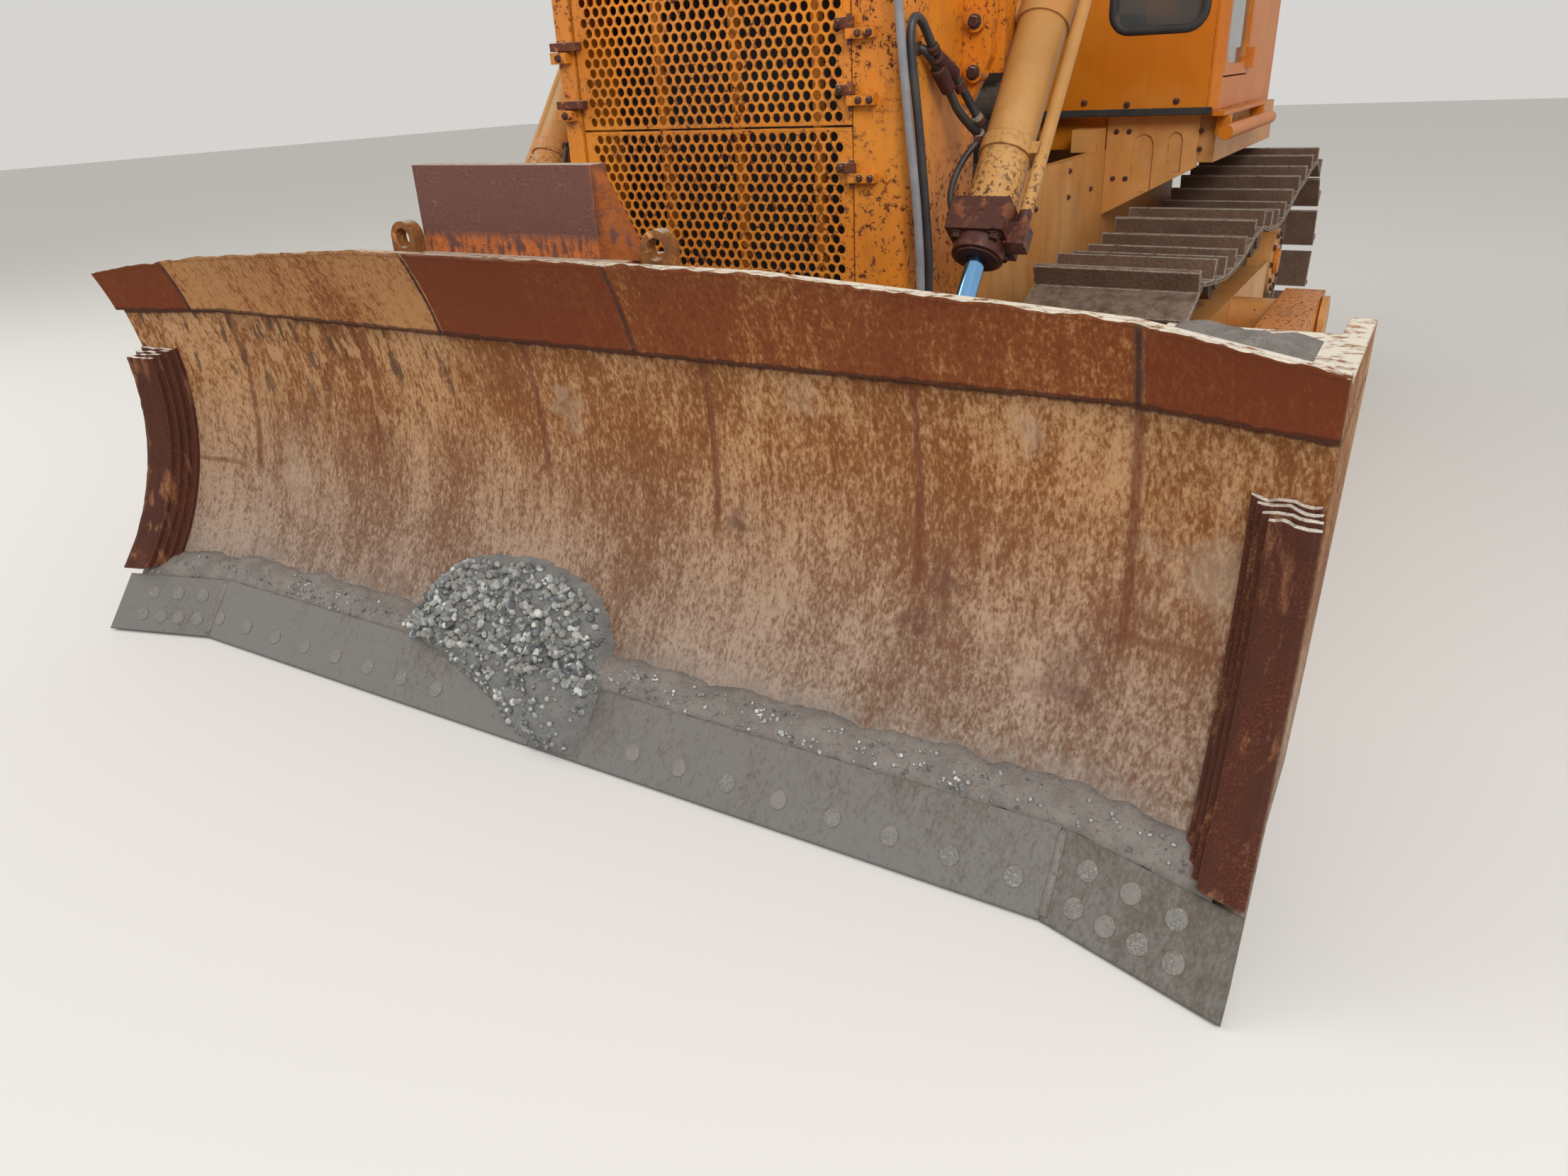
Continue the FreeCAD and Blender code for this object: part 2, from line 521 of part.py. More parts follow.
# trunnion castings bolted to the guard's sides, each with a bearing for its barrel's trunnion
castings = []
for word, wall in (("left", "guard_left_half"), ("right", "guard_half")):
    bearing = prism("bearing_" + word, "x", [
        (at("guard_back - 75"), "trunnion_z - 165"), (at("guard_back"), "trunnion_z - 130"),
        (at("trunnion_at + 85"), "trunnion_z - 70"), (at("trunnion_at + 105"), "trunnion_z"),
        (at("trunnion_at + 85"), "trunnion_z + 75"), (at("trunnion_at - 5"), "trunnion_z + 110"),
        (at("guard_back - 75"), "trunnion_z + 115"),
    ], wall + " + seat_gap", "lift_x - barrel_r - 10 - seat_gap - " + wall)
    flange = prism("flange_" + word, "y", [
        (wall + " + seat_gap", "trunnion_z - 250"), (wall + " + 30", "trunnion_z - 245"),
        (wall + " + 92", "trunnion_z - 120"), (wall + " + 98", "trunnion_z + 40"),
        (wall + " + 80", "trunnion_z + 150"), (wall + " + seat_gap", "trunnion_z + 160"),
    ], at("guard_back - 118"), "44")
    bosses = [rod("boss_%s_%d" % (word, i), (wall + " + 46", at("guard_back - 140"), "trunnion_z - %d" % drop),
                  "y", "30", "60") for i, drop in enumerate((20, 160))]
    casting = joined("casting_" + word, [bearing, flange] + bosses)
    bore = rod("casting_bore_" + word, ("lift_x - barrel_r - 90", at("trunnion_at"), "trunnion_z"), "x",
               "trunnion_r + 0.5", "120")
    bored = less("casting_bored_" + word, casting, bore)
    castings.append(mirrored(bored) if word == "right" else bored)
node(gathered("castings_all", castings), "trunnion_brackets")

# radiator guard: two side walls with round front corners, head, roof, sill and the bars behind the doors
guard_tall = "guard_top_z - guard_low_z"


def guard_side(word, side, half, corner):
    points = [("door_half + door_gap", "guard_front"), ("%s - %s" % (half, corner), "guard_front"),
              ("%s - 0.62 * %s" % (half, corner), "guard_front + 0.07 * " + corner),
              ("%s - 0.29 * %s" % (half, corner), "guard_front + 0.29 * " + corner),
              ("%s - 0.07 * %s" % (half, corner), "guard_front + 0.62 * " + corner),
              (half, "guard_front + " + corner), (half, "guard_back"), (half + " - guard_wall", "guard_back"),
              (half + " - guard_wall", "guard_front + guard_wall"),
              ("door_half + door_gap", "guard_front + guard_wall")]
    points = [("%s * (%s)" % (side, u), at(v)) for u, v in points]
    return prism("guard_side_" + word, "z", points, "guard_low_z", guard_tall)


guard_across = "guard_half + guard_left_half - guard_corner"
guard_parts = [
    guard_side("left", 1, "guard_left_half", "guard_corner"), guard_side("right", -1, "guard_half", "12"),
    box("guard_head", ("-guard_half + 12", at("guard_front"), "upper_door_top + door_gap"),
        (guard_across + " - 12", "guard_wall", "guard_top_z - upper_door_top - door_gap")),
    box("guard_roof", ("-guard_half + 12", at("guard_front"), "guard_top_z - guard_wall"),
        (guard_across + " - 12", "guard_back - guard_front", "guard_wall")),
    box("guard_sill", ("-guard_half + 12", at("guard_front"), "guard_low_z"),
        (guard_across + " - 12", "260", "lower_door_z - door_gap - guard_low_z")),
]
guard_parts += [box("guard_bar_%d" % i, ("%s - 14" % across, at("guard_front + 60"), "guard_low_z + 40"),
                    ("28", "26", guard_tall + " - 60")) for i, across in enumerate(("-222", "71", "365"))]
hinge_rows = {"upper": ("1727", "1901"), "lower": ("1130", "1514")}
latch_rows = {"upper": ("1713", "1889"), "lower": ("1130", "1514")}
pin_x, pin_y = "door_half + door_gap", at("guard_front - hinge_out")
for word in hinge_rows:
    for i, height in enumerate(hinge_rows[word]):
        low = "%s - hinge_high - 1" % height
        guard_parts += [
            box("guard_leaf_%s_%d" % (word, i), (pin_x, at("guard_front - 24"), low), ("80", "25", "hinge_high")),
            rod("guard_knuckle_%s_%d" % (word, i), (pin_x, pin_y, low), "z", "knuckle_r", "hinge_high"),
        ]
    for i, height in enumerate(latch_rows[word]):
        guard_parts.append(box("guard_latch_%s_%d" % (word, i), ("-guard_half - 6", at("guard_front - 26"),
                                                                 "%s - 37" % height), ("68", "27", "34")))
node(joined("guard_whole", guard_parts), "radiator_guard")
core = box("core_block", ("-guard_half + guard_wall", at("guard_front + 262"), "guard_low_z + 60"),
           ("guard_half + guard_left_half - 2 * guard_wall", "130", guard_tall + " - 140"))
node(core, "radiator_core")

# perforated grille doors: rows of openings, every other row shifted, hinged on the machine's left
grille_rows = (("upper", "door_split_z + door_gap / 2", "upper_door_top", 5),
               ("lower", "lower_door_z", "door_split_z - door_gap / 2", 8))
for word, low, top, rows in grille_rows:
    tall = "%s - (%s)" % (top, low)
    slab_y = at("guard_front + 6")
    panel = box(word + "_slab", ("-door_half", slab_y, low), ("2 * door_half", "door_thick", tall))
    openings = []
    for row in range(rows):
        for column in range(8 - row % 2):
            across = "door_half * %s - 40" % round((column - (3.5 - row % 2 * 0.5)) / 4.2, 4)
            up = "(%s) + (%s) * %s - 26" % (low, tall, round((row + 0.5) / rows, 4))
            openings.append(box("%s_opening_%d_%d" % (word, row, column),
                                (across, at("guard_front - 10"), up), ("80", "door_thick + 40", "52")))
    door_parts = [less(word + "_panel", panel, gathered(word + "_openings", openings))]
    for i, height in enumerate(hinge_rows[word]):
        door_parts += [
            box("%s_leaf_%d" % (word, i), ("door_half - 40", at("guard_front - 24"), height),
                ("40", "30.5", "hinge_high")),
            rod("%s_knuckle_%d" % (word, i), (pin_x, pin_y, height), "z", "knuckle_r", "hinge_high"),
        ]
    for i, height in enumerate(latch_rows[word]):
        door_parts += [
            box("%s_latch_%d" % (word, i), ("-guard_half - 6", at("guard_front - 24"), height),
                ("113", "23.5", "26")),
            box("%s_latch_foot_%d" % (word, i), ("-door_half + 1", at("guard_front - 2"), height),
                ("25", "9", "26")),
        ]
    node(joined(word + "_door_whole", door_parts), word + "_grille_door")

# hydraulic hoses, held by clamps and fittings from end to end
hose_parts = [
    box("roof_clamp", ("guard_left_half - 46", at("1500"), "guard_top_z + seat_gap"), ("86", "40", "40")),
    hose("hose_grey", 13, 75, [(672, 1500, 2200.5), (690, 1098, 2200.5), (748, 1172, 1230), (752, 1172, 912),
                               (752, 1300, 912)]),
    hose("hose_black", 13, 40, [(752, 1300, 985), (752, 1200, 985), (776, 1186, 1210), (716, 1150, 1868),
                                (722, 1192, 1925), (733, 1290, 1822), (745, 1420, 1765), (802, 1492, 1629)]),
    hose("hose_side", 13, 32, [(692.6, 1262, 1840), (716, 1262, 1840), (740, 1390, 1722), (764, 1420, 1640),
                               (804, 1490, 1592)]),
    box("hose_bracket", ("guard_left_half + seat_gap", at("1300"), "870"), ("96", "34", "160")),
]
couplings = [(733, 1290, 1822, 745, 1420, 1765), (726, 1315, 1791, 740, 1390, 1722)]
for i, (x0, y0, z0, x1, y1, z1) in enumerate(couplings):
    hose_parts.append(hose("coupling_%d" % i, 27, 1, [(x0, y0, z0), (x1, y1, z1)]))
node(joined("hoses_whole", hose_parts), "front_hoses")

# main frame: two rails, upper side plates, cross members, the belly plate and a case on the left side plate
frame_parts = []
for word, across in (("a", "guard_half - rail_thick"), ("b", "-guard_half")):
    frame_parts += [
        box("rail_" + word, (across, at("guard_back + 0.5"), "rail_low_z"),
            ("rail_thick", "rail_back - guard_back - 0.5", "rail_top_z - rail_low_z")),
        box("side_plate_" + word, (across, at("guard_back + 0.5"), "rail_top_z - 1"),
            ("rail_thick", "fender_front - guard_back - 1", "side_plate_top - rail_top_z + 1")),
    ]
frame_parts += [
    box("front_member", ("-guard_half", at("guard_back + 0.5"), "rail_low_z"),
        ("guard_half + guard_left_half", "160", "300")),
    box("rear_member", ("-guard_half", at("rail_back - 120"), "rail_low_z"), ("2 * guard_half", "120", "420")),
    box("side_case", ("guard_half - 124", at("fender_front - 160"), "side_plate_top - 1"), ("124", "140", "101")),
]
belly = prism("belly_plate", "y", [("-guard_half", "rail_low_z + 1"), ("-guard_half + 120", "rail_low_z - 170"),
                                   ("guard_half - 120", "rail_low_z - 170"), ("guard_half", "rail_low_z + 1"),
                                   ("guard_half - 50", "rail_low_z + 1"), ("guard_half - 140", "rail_low_z - 140"),
                                   ("-guard_half + 140", "rail_low_z - 140"), ("-guard_half + 50", "rail_low_z + 1")],
              at("guard_back + 10"), "rail_back - guard_back - 400")
node(joined("frame_whole", frame_parts + [belly]), "main_frame")

# engine with its covers, manifolds, fan and the units on its sides, seen through the open bay
engine_parts = [
    box("engine_sump", ("-260", at("1960"), "780"), ("520", "1500", "330")),
    box("engine_case", ("-330", at("1920"), "1100"), ("660", "1580", "520")),
    box("engine_heads", ("-230", at("1980"), "1620"), ("460", "1460", "170")),
    box("engine_covers", ("-150", at("2020"), "1790"), ("300", "1380", "120")),
    box("inlet_box", ("-330", at("2100"), "1640"), ("180", "1150", "150")),
    box("injection_pump", ("320", at("2650"), "1380"), ("130", "260", "150")),
    box("oil_cooler", ("320", at("3000"), "1240"), ("90", "420", "190")),
]
round_units = (
    ("exhaust_manifold", ("337", "2020", "1650"), "y", "70", "1300"),
    ("turbo", ("337", "2500", "1825"), "y", "120", "240"),
    ("generator", ("385", "2040", "1480"), "y", "78", "190"),
    ("starter", ("375", "2880", "1120"), "y", "58", "330"),
    ("filter_front", ("368", "2330", "1180"), "z", "50", "250"),
    ("filter_rear", ("368", "2460", "1180"), "z", "50", "250"),
    ("fan_shaft", ("0", "1700", "1400"), "y", "60", "240"),
    ("fan_disc", ("0", "1740", "1400"), "y", "380", "30"),
)
for name, (across, back, up), along, radius, length in round_units:
    engine_parts.append(wheel(name, (across, at(back), up), along, radius, length))
for i, spot in enumerate(("2150", "3250")):
    engine_parts.append(box("engine_mount_%d" % i, ("-guard_half + rail_thick + seat_gap", at(spot), "1020"),
                            ("2 * (guard_half - rail_thick - seat_gap)", "120", "90")))
node(joined("engine_whole", engine_parts), "engine")

# hood, with the exhaust and the air cleaner standing on it
hood_sheet, hood_bend = "25", "60"
hood_side = [("hood_half", "hood_low_z"), ("hood_half", "hood_top_z - " + hood_bend),
             ("hood_half - 70", "hood_top_z")]
hood_inside = [("hood_half - 82", "hood_top_z - " + hood_sheet), ("hood_half - 25", "hood_top_z - 70"),
               ("hood_half - 25", "hood_low_z")]
hood = prism("hood_shell", "y", [("-(%s)" % u, v) for u, v in hood_side] + hood_side[::-1]
             + hood_inside[::-1] + [("-(%s)" % u, v) for u, v in hood_inside],
             at("guard_back + 0.5"), "cab_front - guard_back - 1")
node(hood, "hood")
pipe = rod("exhaust_pipe", ("250", at("2620"), "hood_top_z"), "z", "75", "760")
pipe_flange = wheel("exhaust_flange", ("250", at("2620"), "hood_top_z"), "z", "120", "30")
node(joined("exhaust_whole", [pipe, pipe_flange]), "exhaust_stack")
cleaner = [wheel("cleaner_" + word, ("-220", at("2400"), "hood_top_z + " + low), "z", radius, tall, 32)
           for word, low, radius, tall in (("body", "0", "150", "330"), ("bowl", "330", "120", "220"),
                                           ("cap", "550", "170", "40"))]
node(joined("cleaner_whole", cleaner), "air_cleaner")

# track frames with their rollers, idlers, carriers and sprockets
inner_wall, outer_wall = "gauge_half - frame_wall_x - frame_wall", "gauge_half + frame_wall_x"
frame_long, frame_tall = "frame_back - frame_front", "frame_top_z - frame_low_z"
frame_side = [
    box("wall_inner", (inner_wall, at("frame_front"), "frame_low_z"), ("frame_wall", frame_long, frame_tall)),
    box("wall_outer", (outer_wall, at("frame_front"), "frame_low_z"), ("frame_wall", frame_long, frame_tall)),
    box("frame_roof", (inner_wall, at("frame_front"), "frame_top_z - 240"),
        ("2 * frame_wall_x + 2 * frame_wall", frame_long + " - 200", "240")),
    box("yoke_inner", (inner_wall, at("idler_at - 150"), "idler_z - 90"),
        ("frame_wall", "frame_front - idler_at + 160", "180")),
    box("yoke_outer", (outer_wall, at("idler_at - 150"), "idler_z - 90"),
        ("frame_wall", "frame_front - idler_at + 160", "180")),
]
carriers = []
for word in ("one", "two"):
    spot = "carrier_" + word
    centre = "carrier_pin_%s - link_in - carrier_r - carrier_drop" % word
    frame_side += [
        box("post_" + word, ("gauge_half - 180", at(spot + " - 60"), "frame_top_z - 120"),
            ("52", "120", centre + " - frame_top_z + 175")),
        wheel("axle_" + word, ("gauge_half - 130", at(spot), centre), "x", "42", "44.7", 12),
    ]
    carriers.append(joined(spot + "_whole", [
        wheel("carrier_tread_" + word, ("gauge_half - 85", at(spot), centre), "x", "carrier_r", "210", 24),
        wheel("carrier_cap_" + word, ("gauge_half + 125", at(spot), centre), "x", "50", "22", 12),
    ]))
roller_z = "lug_height + link_in + roller_r + seat_gap"
rollers = []
for i in range(7):
    spot = "roller_first + roller_pitch * %d" % i
    rollers.append(joined("roller_%d" % i, [
        wheel("roller_tread_%d" % i, ("gauge_half - roller_width / 2", at(spot), roller_z), "x", "roller_r",
              "roller_width"),
        box("roller_axle_%d" % i,
            ("gauge_half - frame_wall_x + seat_gap", at(spot + " - 35"), roller_z + " - 35"),
            ("2 * frame_wall_x - 2 * seat_gap", "70", "70")),
    ]))
pair(gathered("rollers_side", rollers), "track_rollers")
pair(gathered("carriers_side", carriers), "carrier_rollers")
idler = joined("idler_side", [
    wheel("idler_rim", ("gauge_half - idler_width / 2", at("idler_at"), "idler_z"), "x", "idler_r - bush_r - 4",
          "idler_width", 40),
    wheel("idler_tread", ("gauge_half - 120", at("idler_at"), "idler_z"), "x", "idler_r - link_in - idler_drop",
          "240", 40),
    box("idler_hub", ("gauge_half - frame_wall_x + seat_gap", at("idler_at - 70"), "idler_z - 70"),
        ("2 * frame_wall_x - 2 * seat_gap", "140", "140")),
])
pair(idler, "idlers")

sprocket_parts = [wheel("sprocket_disc", ("gauge_half - 30", at("sprocket_at"), "sprocket_z"), "x",
                        "sprocket_r - bush_r - 8", "60", sizes["sprocket_teeth"])]
tooth_form = (("Xmin", "0"), ("Xmax", "60"), ("X2min", "0"), ("X2max", "60"),
              ("Ymin", "sprocket_r - bush_r - 30"), ("Ymax", "sprocket_r + 14"),
              ("Zmin", "-24"), ("Zmax", "24"), ("Z2min", "-11"), ("Z2max", "11"))
for i in range(sizes["sprocket_teeth"]):
    tooth = doc.addObject("Part::Wedge", "tooth_%d" % i)
    for prop, text in tooth_form:
        bind(tooth, prop, text)
    tooth.Placement = FreeCAD.Placement(FreeCAD.Vector(), FreeCAD.Rotation(directions["x"], 5))
    bind(tooth, "Placement.Rotation.Angle", "360 / sprocket_teeth * (%d + 0.5)" % i)
    place(tooth, ("gauge_half - 30", at("sprocket_at"), "sprocket_z"))
    sprocket_parts.append(tooth)
pair(joined("sprocket_side", sprocket_parts), "sprockets")

drive_parts = [
    wheel("drive_case", ("guard_half + 0.5", at("sprocket_at"), "sprocket_z"), "x", "370",
          "gauge_half - 30.8 - guard_half", 36),
    wheel("drive_cap", ("gauge_half + 30.3", at("sprocket_at"), "sprocket_z"), "x", "190", "130", 28),
]
pair(gathered("drive_side", drive_parts), "final_drives")
beam_reach = "gauge_half - frame_wall_x - frame_wall - seat_gap"
spine = [box(name, ("-(%s)" % beam_reach, at(spot), low), ("2 * (%s)" % beam_reach, deep, tall))
         for name, spot, low, deep, tall in (
             ("equalizer", "3000", "rail_low_z - 290", "200", "120 - seat_gap"),
             ("cross_shaft", "sprocket_at - 520", "rail_low_z - 310", "120", "140 - seat_gap"))]
node(gathered("spine_all", spine), "cross_beams")
pivots = [
    rod("pivot_stub", ("gauge_half + frame_wall_x + 2", at("pivot_at"), "arm_z"), "x", "pivot_r",
        "arm_x + arm_wide / 2 + 30 - gauge_half - frame_wall_x - frame_wall"),
    wheel("pivot_cap", ("arm_x + arm_wide / 2 + 8", at("pivot_at"), "arm_z"), "x", "pivot_r + 25", "26", 24),
]
pair(joined("track_frame_side", frame_side + pivots), "track_frames")


# tracks: the shoes' plates and lugs stand on two rows of links joined by bushes
def ring_points(centre_y, centre_z, radius, start, step, count):
    turns = [math.radians(start + step * i) for i in range(count)]
    return [(centre_y + radius * math.cos(turn), centre_z + radius * math.sin(turn)) for turn in turns]


def track_line():
    sprocket_y, sprocket_z, sprocket_r = (sizes[w] for w in ("sprocket_at", "sprocket_z", "sprocket_r"))
    idler_y, idler_z, idler_r = (sizes[w] for w in ("idler_at", "idler_z", "idler_r"))
    across, up = sizes["carrier_two"] - sprocket_y, sizes["carrier_pin_two"] - sprocket_z
    leaving = math.degrees(math.atan2(up, across) - math.acos(sprocket_r / math.hypot(across, up)))
    points = ring_points(sprocket_y, sprocket_z, sprocket_r, 0, leaving / 60, 61)
    stops = [points[-1], (sizes["carrier_two"], sizes["carrier_pin_two"]),
             (sizes["carrier_one"], sizes["carrier_pin_one"]), (idler_y, idler_z + idler_r)]
    sags = [sizes[w] for w in ("sag_rear", "sag_middle", "sag_front")]
    for (start, finish, sag) in zip(stops, stops[1:], sags):
        for step in range(1, 25):
            part = step / 24
            points.append((start[0] + (finish[0] - start[0]) * part,
                           start[1] + (finish[1] - start[1]) * part - 4 * sag * part * (1 - part)))
    points += ring_points(idler_y, idler_z, idler_r, 93, 3, 60)
    points += ring_points(sprocket_y, sprocket_z, sprocket_r, 270, 1.5, 61)
    return points


def spaced(points, count):
    runs = [math.dist(points[i], points[i + 1]) for i in range(len(points) - 1)]
    total = sum(runs)
    found, index, passed = [], 0, 0.0
    for k in range(count):
        goal = total * k / count
        while passed + runs[index] < goal:
            passed += runs[index]
            index += 1
        part = (goal - passed) / runs[index]
        (y0, z0), (y1, z1) = points[index], points[index + 1]
        found.append((y0 + (y1 - y0) * part, z0 + (z1 - z0) * part))
    return found


def slab(outline_points, across, wide):
    corners = [FreeCAD.Vector(across, sizes["edge_y"] + y, z) for y, z in outline_points]
    face = Part.Face(Part.makePolygon(corners + corners[:1]))
    return face.extrude(FreeCAD.Vector(wide, 0, 0))


pins = spaced(track_line(), sizes["shoe_count"])
middle_x = sizes["gauge_half"]
pieces = []
outer_ring, inner_ring = [], []
for i, here in enumerate(pins):
    ahead, behind = pins[(i + 1) % len(pins)], pins[i - 1]
    run = math.dist(here, ahead)
    along = ((ahead[0] - here[0]) / run, (ahead[1] - here[1]) / run)
    out = (along[1], -along[0])

    def spot(forward, outward):
        return tuple(here[axis] + along[axis] * forward + out[axis] * outward for axis in (0, 1))

    low, high, tip = sizes["shoe_under"], sizes["shoe_under"] + sizes["shoe_thick"], sizes["lug_height"]
    thick = sizes["lug_thick"]
    shoe = [spot(3, low), spot(3, high), spot(18, high), spot(22, tip), spot(18 + thick, tip),
            spot(24 + thick, high), spot(run - 4, high), spot(run - 4, low)]
    pieces.append(slab(shoe, middle_x - sizes["shoe_width"] / 2, sizes["shoe_width"]))
    span = math.dist(behind, ahead)
    mean = ((ahead[0] - behind[0]) / span, (ahead[1] - behind[1]) / span)
    outer_ring.append((here[0] + mean[1] * (low + 4), here[1] - mean[0] * (low + 4)))
    inner_ring.append((here[0] - mean[1] * sizes["link_in"], here[1] + mean[0] * sizes["link_in"]))
for start in (-sizes["link_out_x"], sizes["link_in_x"]):
    wide = sizes["link_out_x"] - sizes["link_in_x"]
    pieces.append(slab(outer_ring, middle_x + start, wide).cut(slab(inner_ring, middle_x + start - 1, wide + 2)))
track = doc.addObject("Part::Feature", "track_loop")
track.Shape = pieces[0].fuse(pieces[1:]).removeSplitter()
node(track, "left_track")
node(mirrored(track), "right_track")

# fenders: a solid shelf over each track with a front panel that has two arched recesses
fender = prism("fender_tank", "y", [("guard_half + 0.5", "1330"), ("fender_half", "1330"),
                                    ("fender_half", "fender_top_z"), ("guard_half + 0.5", "fender_top_z")],
               at("fender_front + 29"), "fender_back - fender_front - 29")
fender_panel = prism("fender_panel", "y", [
    ("guard_half + 0.5", "fender_low_in - 110"), ("fender_half - 70", "fender_low_out"),
    ("fender_half - 70", "fender_top_z"), ("guard_half + 0.5", "fender_top_z"),
], at("fender_front"), "30")
arches = []
for i, (left, right, low, top) in enumerate(((724, 819, 1200, 1460), (887, 950, 1290, 1465))):
    wide = right - left
    arches.append(prism("fender_arch_%d" % i, "y", [
        (left, low), (left, top - 0.5 * wide), (left + 0.15 * wide, top - 0.15 * wide), (left + 0.5 * wide, top),
        (right - 0.15 * wide, top - 0.15 * wide), (right, top - 0.5 * wide), (right, low),
    ], at("fender_front - 10"), "18"))
pair(joined("fender_whole", [fender, less("fender_pressed", fender_panel, gathered("fender_arches", arches))]),
     "fenders")

# cab: floor with steps, four walls with round-cornered windows, roof with lamps, two doors
floor = box("cab_floor_slab", ("-cab_half", at("cab_front"), "fender_top_z + 0.5"),
            ("2 * cab_half", "cab_back - cab_front", "cab_floor_z - fender_top_z - 0.5"))
floor_pedestal = box("cab_pedestal", ("-guard_half", at("cab_front + 90"), "side_plate_top + 1"),
                     ("2 * guard_half", "cab_back - cab_front - 90", "fender_top_z - side_plate_top"))
step = joined("step_whole", [
    rod("step_tube", ("cab_half + 62", at("3560"), "1470"), "y", "32", "1260"),
    box("step_arm_a", ("cab_half - 8", at("3700"), "1450"), ("60", "50", "86")),
    box("step_arm_b", ("cab_half - 8", at("4640"), "1450"), ("60", "50", "86")),
    box("step_plate", ("cab_half - 8", at("3600"), "fender_top_z + 0.5"), ("50", "1180", "20")),
])
node(joined("cab_floor_whole", [floor, floor_pedestal, step, mirrored(step)]), "cab_floor")

wall_low = "cab_floor_z + 0.5"
wall_tall = "cab_top_z - roof_thick - 0.5 - (%s)" % wall_low
through = "cab_wall + 20"
front_windows = (("left", "605", "1001", "1900"), ("right", "-1001", "-605", "1900"),
                 ("middle", "-540", "540", "2260"))
front_slab = box("cab_front_slab", ("-cab_half + cab_wall + 0.5", at("cab_front"), wall_low),
                 ("2 * cab_half - 2 * cab_wall - 1", "cab_wall", wall_tall))
front_cuts = [window("front_window_" + word, "y", (start, end), (low, "window_top_z"), at("cab_front - 10"),
                     through) for word, start, end, low in front_windows]
node(less("cab_front_whole", front_slab, gathered("cab_front_cuts", front_cuts)), "cab_front_wall")
rear_slab = box("cab_rear_slab", ("-cab_half + cab_wall + 0.5", at("cab_back - cab_wall"), wall_low),
                ("2 * cab_half - 2 * cab_wall - 1", "cab_wall", wall_tall))
rear_sides, rear_heights = ("-800", "800"), ("2150", "2970")
rear_cut = window("rear_window", "y", rear_sides, rear_heights, at("cab_back - cab_wall - 10"), through)
node(less("cab_rear_whole", rear_slab, rear_cut), "cab_rear_wall")
side_slab = prism("cab_side_slab", "z", [
    ("cab_half - cab_wall", at("cab_front")), ("cab_half - cab_corner", at("cab_front")),
    ("cab_half - 0.29 * cab_corner", at("cab_front + 0.29 * cab_corner")),
    ("cab_half", at("cab_front + cab_corner")), ("cab_half", at("cab_back")),
    ("cab_half - cab_wall", at("cab_back")),
], wall_low, wall_tall)
side_sides, side_heights = ("door_open_back + 100", "door_open_back + 660"), ("2150", "2970")
side_cuts = gathered("cab_side_cuts", [
    box("doorway", ("cab_half - cab_wall - 10", at("door_open_front"), "door_low_z"),
        (through, "door_open_back - door_open_front", "door_top_z - door_low_z")),
    window("side_window", "x", side_sides, side_heights, "cab_half - cab_wall - 10", through),
])
pair(less("cab_side_whole", side_slab, side_cuts), "cab_side_walls")
roof_front, roof_back = "cab_front - roof_lip", "cab_back + roof_lip"
roof = prism("cab_roof_slab", "x", [
    (at(roof_front), "cab_top_z - roof_thick"), (at(roof_front), "cab_top_z - 40"),
    (at(roof_front + " + 70"), "cab_top_z"), (at(roof_back + " - 70"), "cab_top_z"),
    (at(roof_back), "cab_top_z - 40"), (at(roof_back), "cab_top_z - roof_thick"),
], "-cab_half - roof_lip", "2 * (cab_half + roof_lip)")
lamps = [wheel("lamp_%d" % i, (across, at(roof_front + " - 69"), "cab_top_z - 105"), "y", "78", "70", 24)
         for i, across in enumerate(("-760", "760"))]
node(joined("cab_roof_whole", [roof] + lamps), "cab_roof")

door_slab = box("door_slab", ("cab_half - cab_wall", at("door_open_front + door_clear"), "door_low_z + door_clear"),
                ("cab_wall", "door_open_back - door_open_front - 2 * door_clear",
                 "door_top_z - door_low_z - 2 * door_clear"))
door_sides = ("door_open_front + door_rim", "door_open_back - door_rim")
door_heights = ("door_low_z + door_rim + 10", "door_top_z - door_rim - 30")
door_cut = window("door_window", "x", door_sides, door_heights, "cab_half - cab_wall - 10", through)
hinges = []
for i, height in enumerate(("1720", "2330", "2920")):
    hinges += [rod("door_knuckle_%d" % i, ("cab_half + 14", at("door_open_back + 2"), height), "z", "13", "90"),
               box("door_leaf_%d" % i, ("cab_half", at("door_open_back - 60"), height), ("12", "62", "90"))]
door = joined("door_whole", [less("door_cut_out", door_slab, door_cut)] + hinges)
node(door, "left_cab_door")
node(mirrored(door), "right_cab_door")

# a pane stands in each opening, just clear of its edge
front_pane_y = at("cab_front + 18")
glass = [window("front_pane_" + word, "y", (start, end), (low, "window_top_z"), front_pane_y, "pane_thick",
                "pane_gap") for word, start, end, low in front_windows]
glass.append(window("rear_pane", "y", rear_sides, rear_heights, at("cab_back - 26"), "pane_thick", "pane_gap"))
side_pane = window("side_pane", "x", side_sides, side_heights, "cab_half - 26", "pane_thick", "pane_gap")
node(gathered("cab_glass_all", glass + [side_pane, mirrored(side_pane)]), "cab_glass")
door_pane = window("door_pane", "x", door_sides, door_heights, "cab_half - 26", "pane_thick", "pane_gap")
node(door_pane, "left_door_glass")
node(mirrored(door_pane), "right_door_glass")
node(joined("seat_whole", [
    box("seat_base", ("-200", at("4480"), "cab_floor_z + 0.5"), ("400", "380", "300")),
    box("seat_cushion", ("-260", at("4400"), "cab_floor_z + 300"), ("520", "520", "140")),
    box("seat_back", ("-250", at("4860"), "cab_floor_z + 440"), ("500", "120", "640")),
]), "seat")
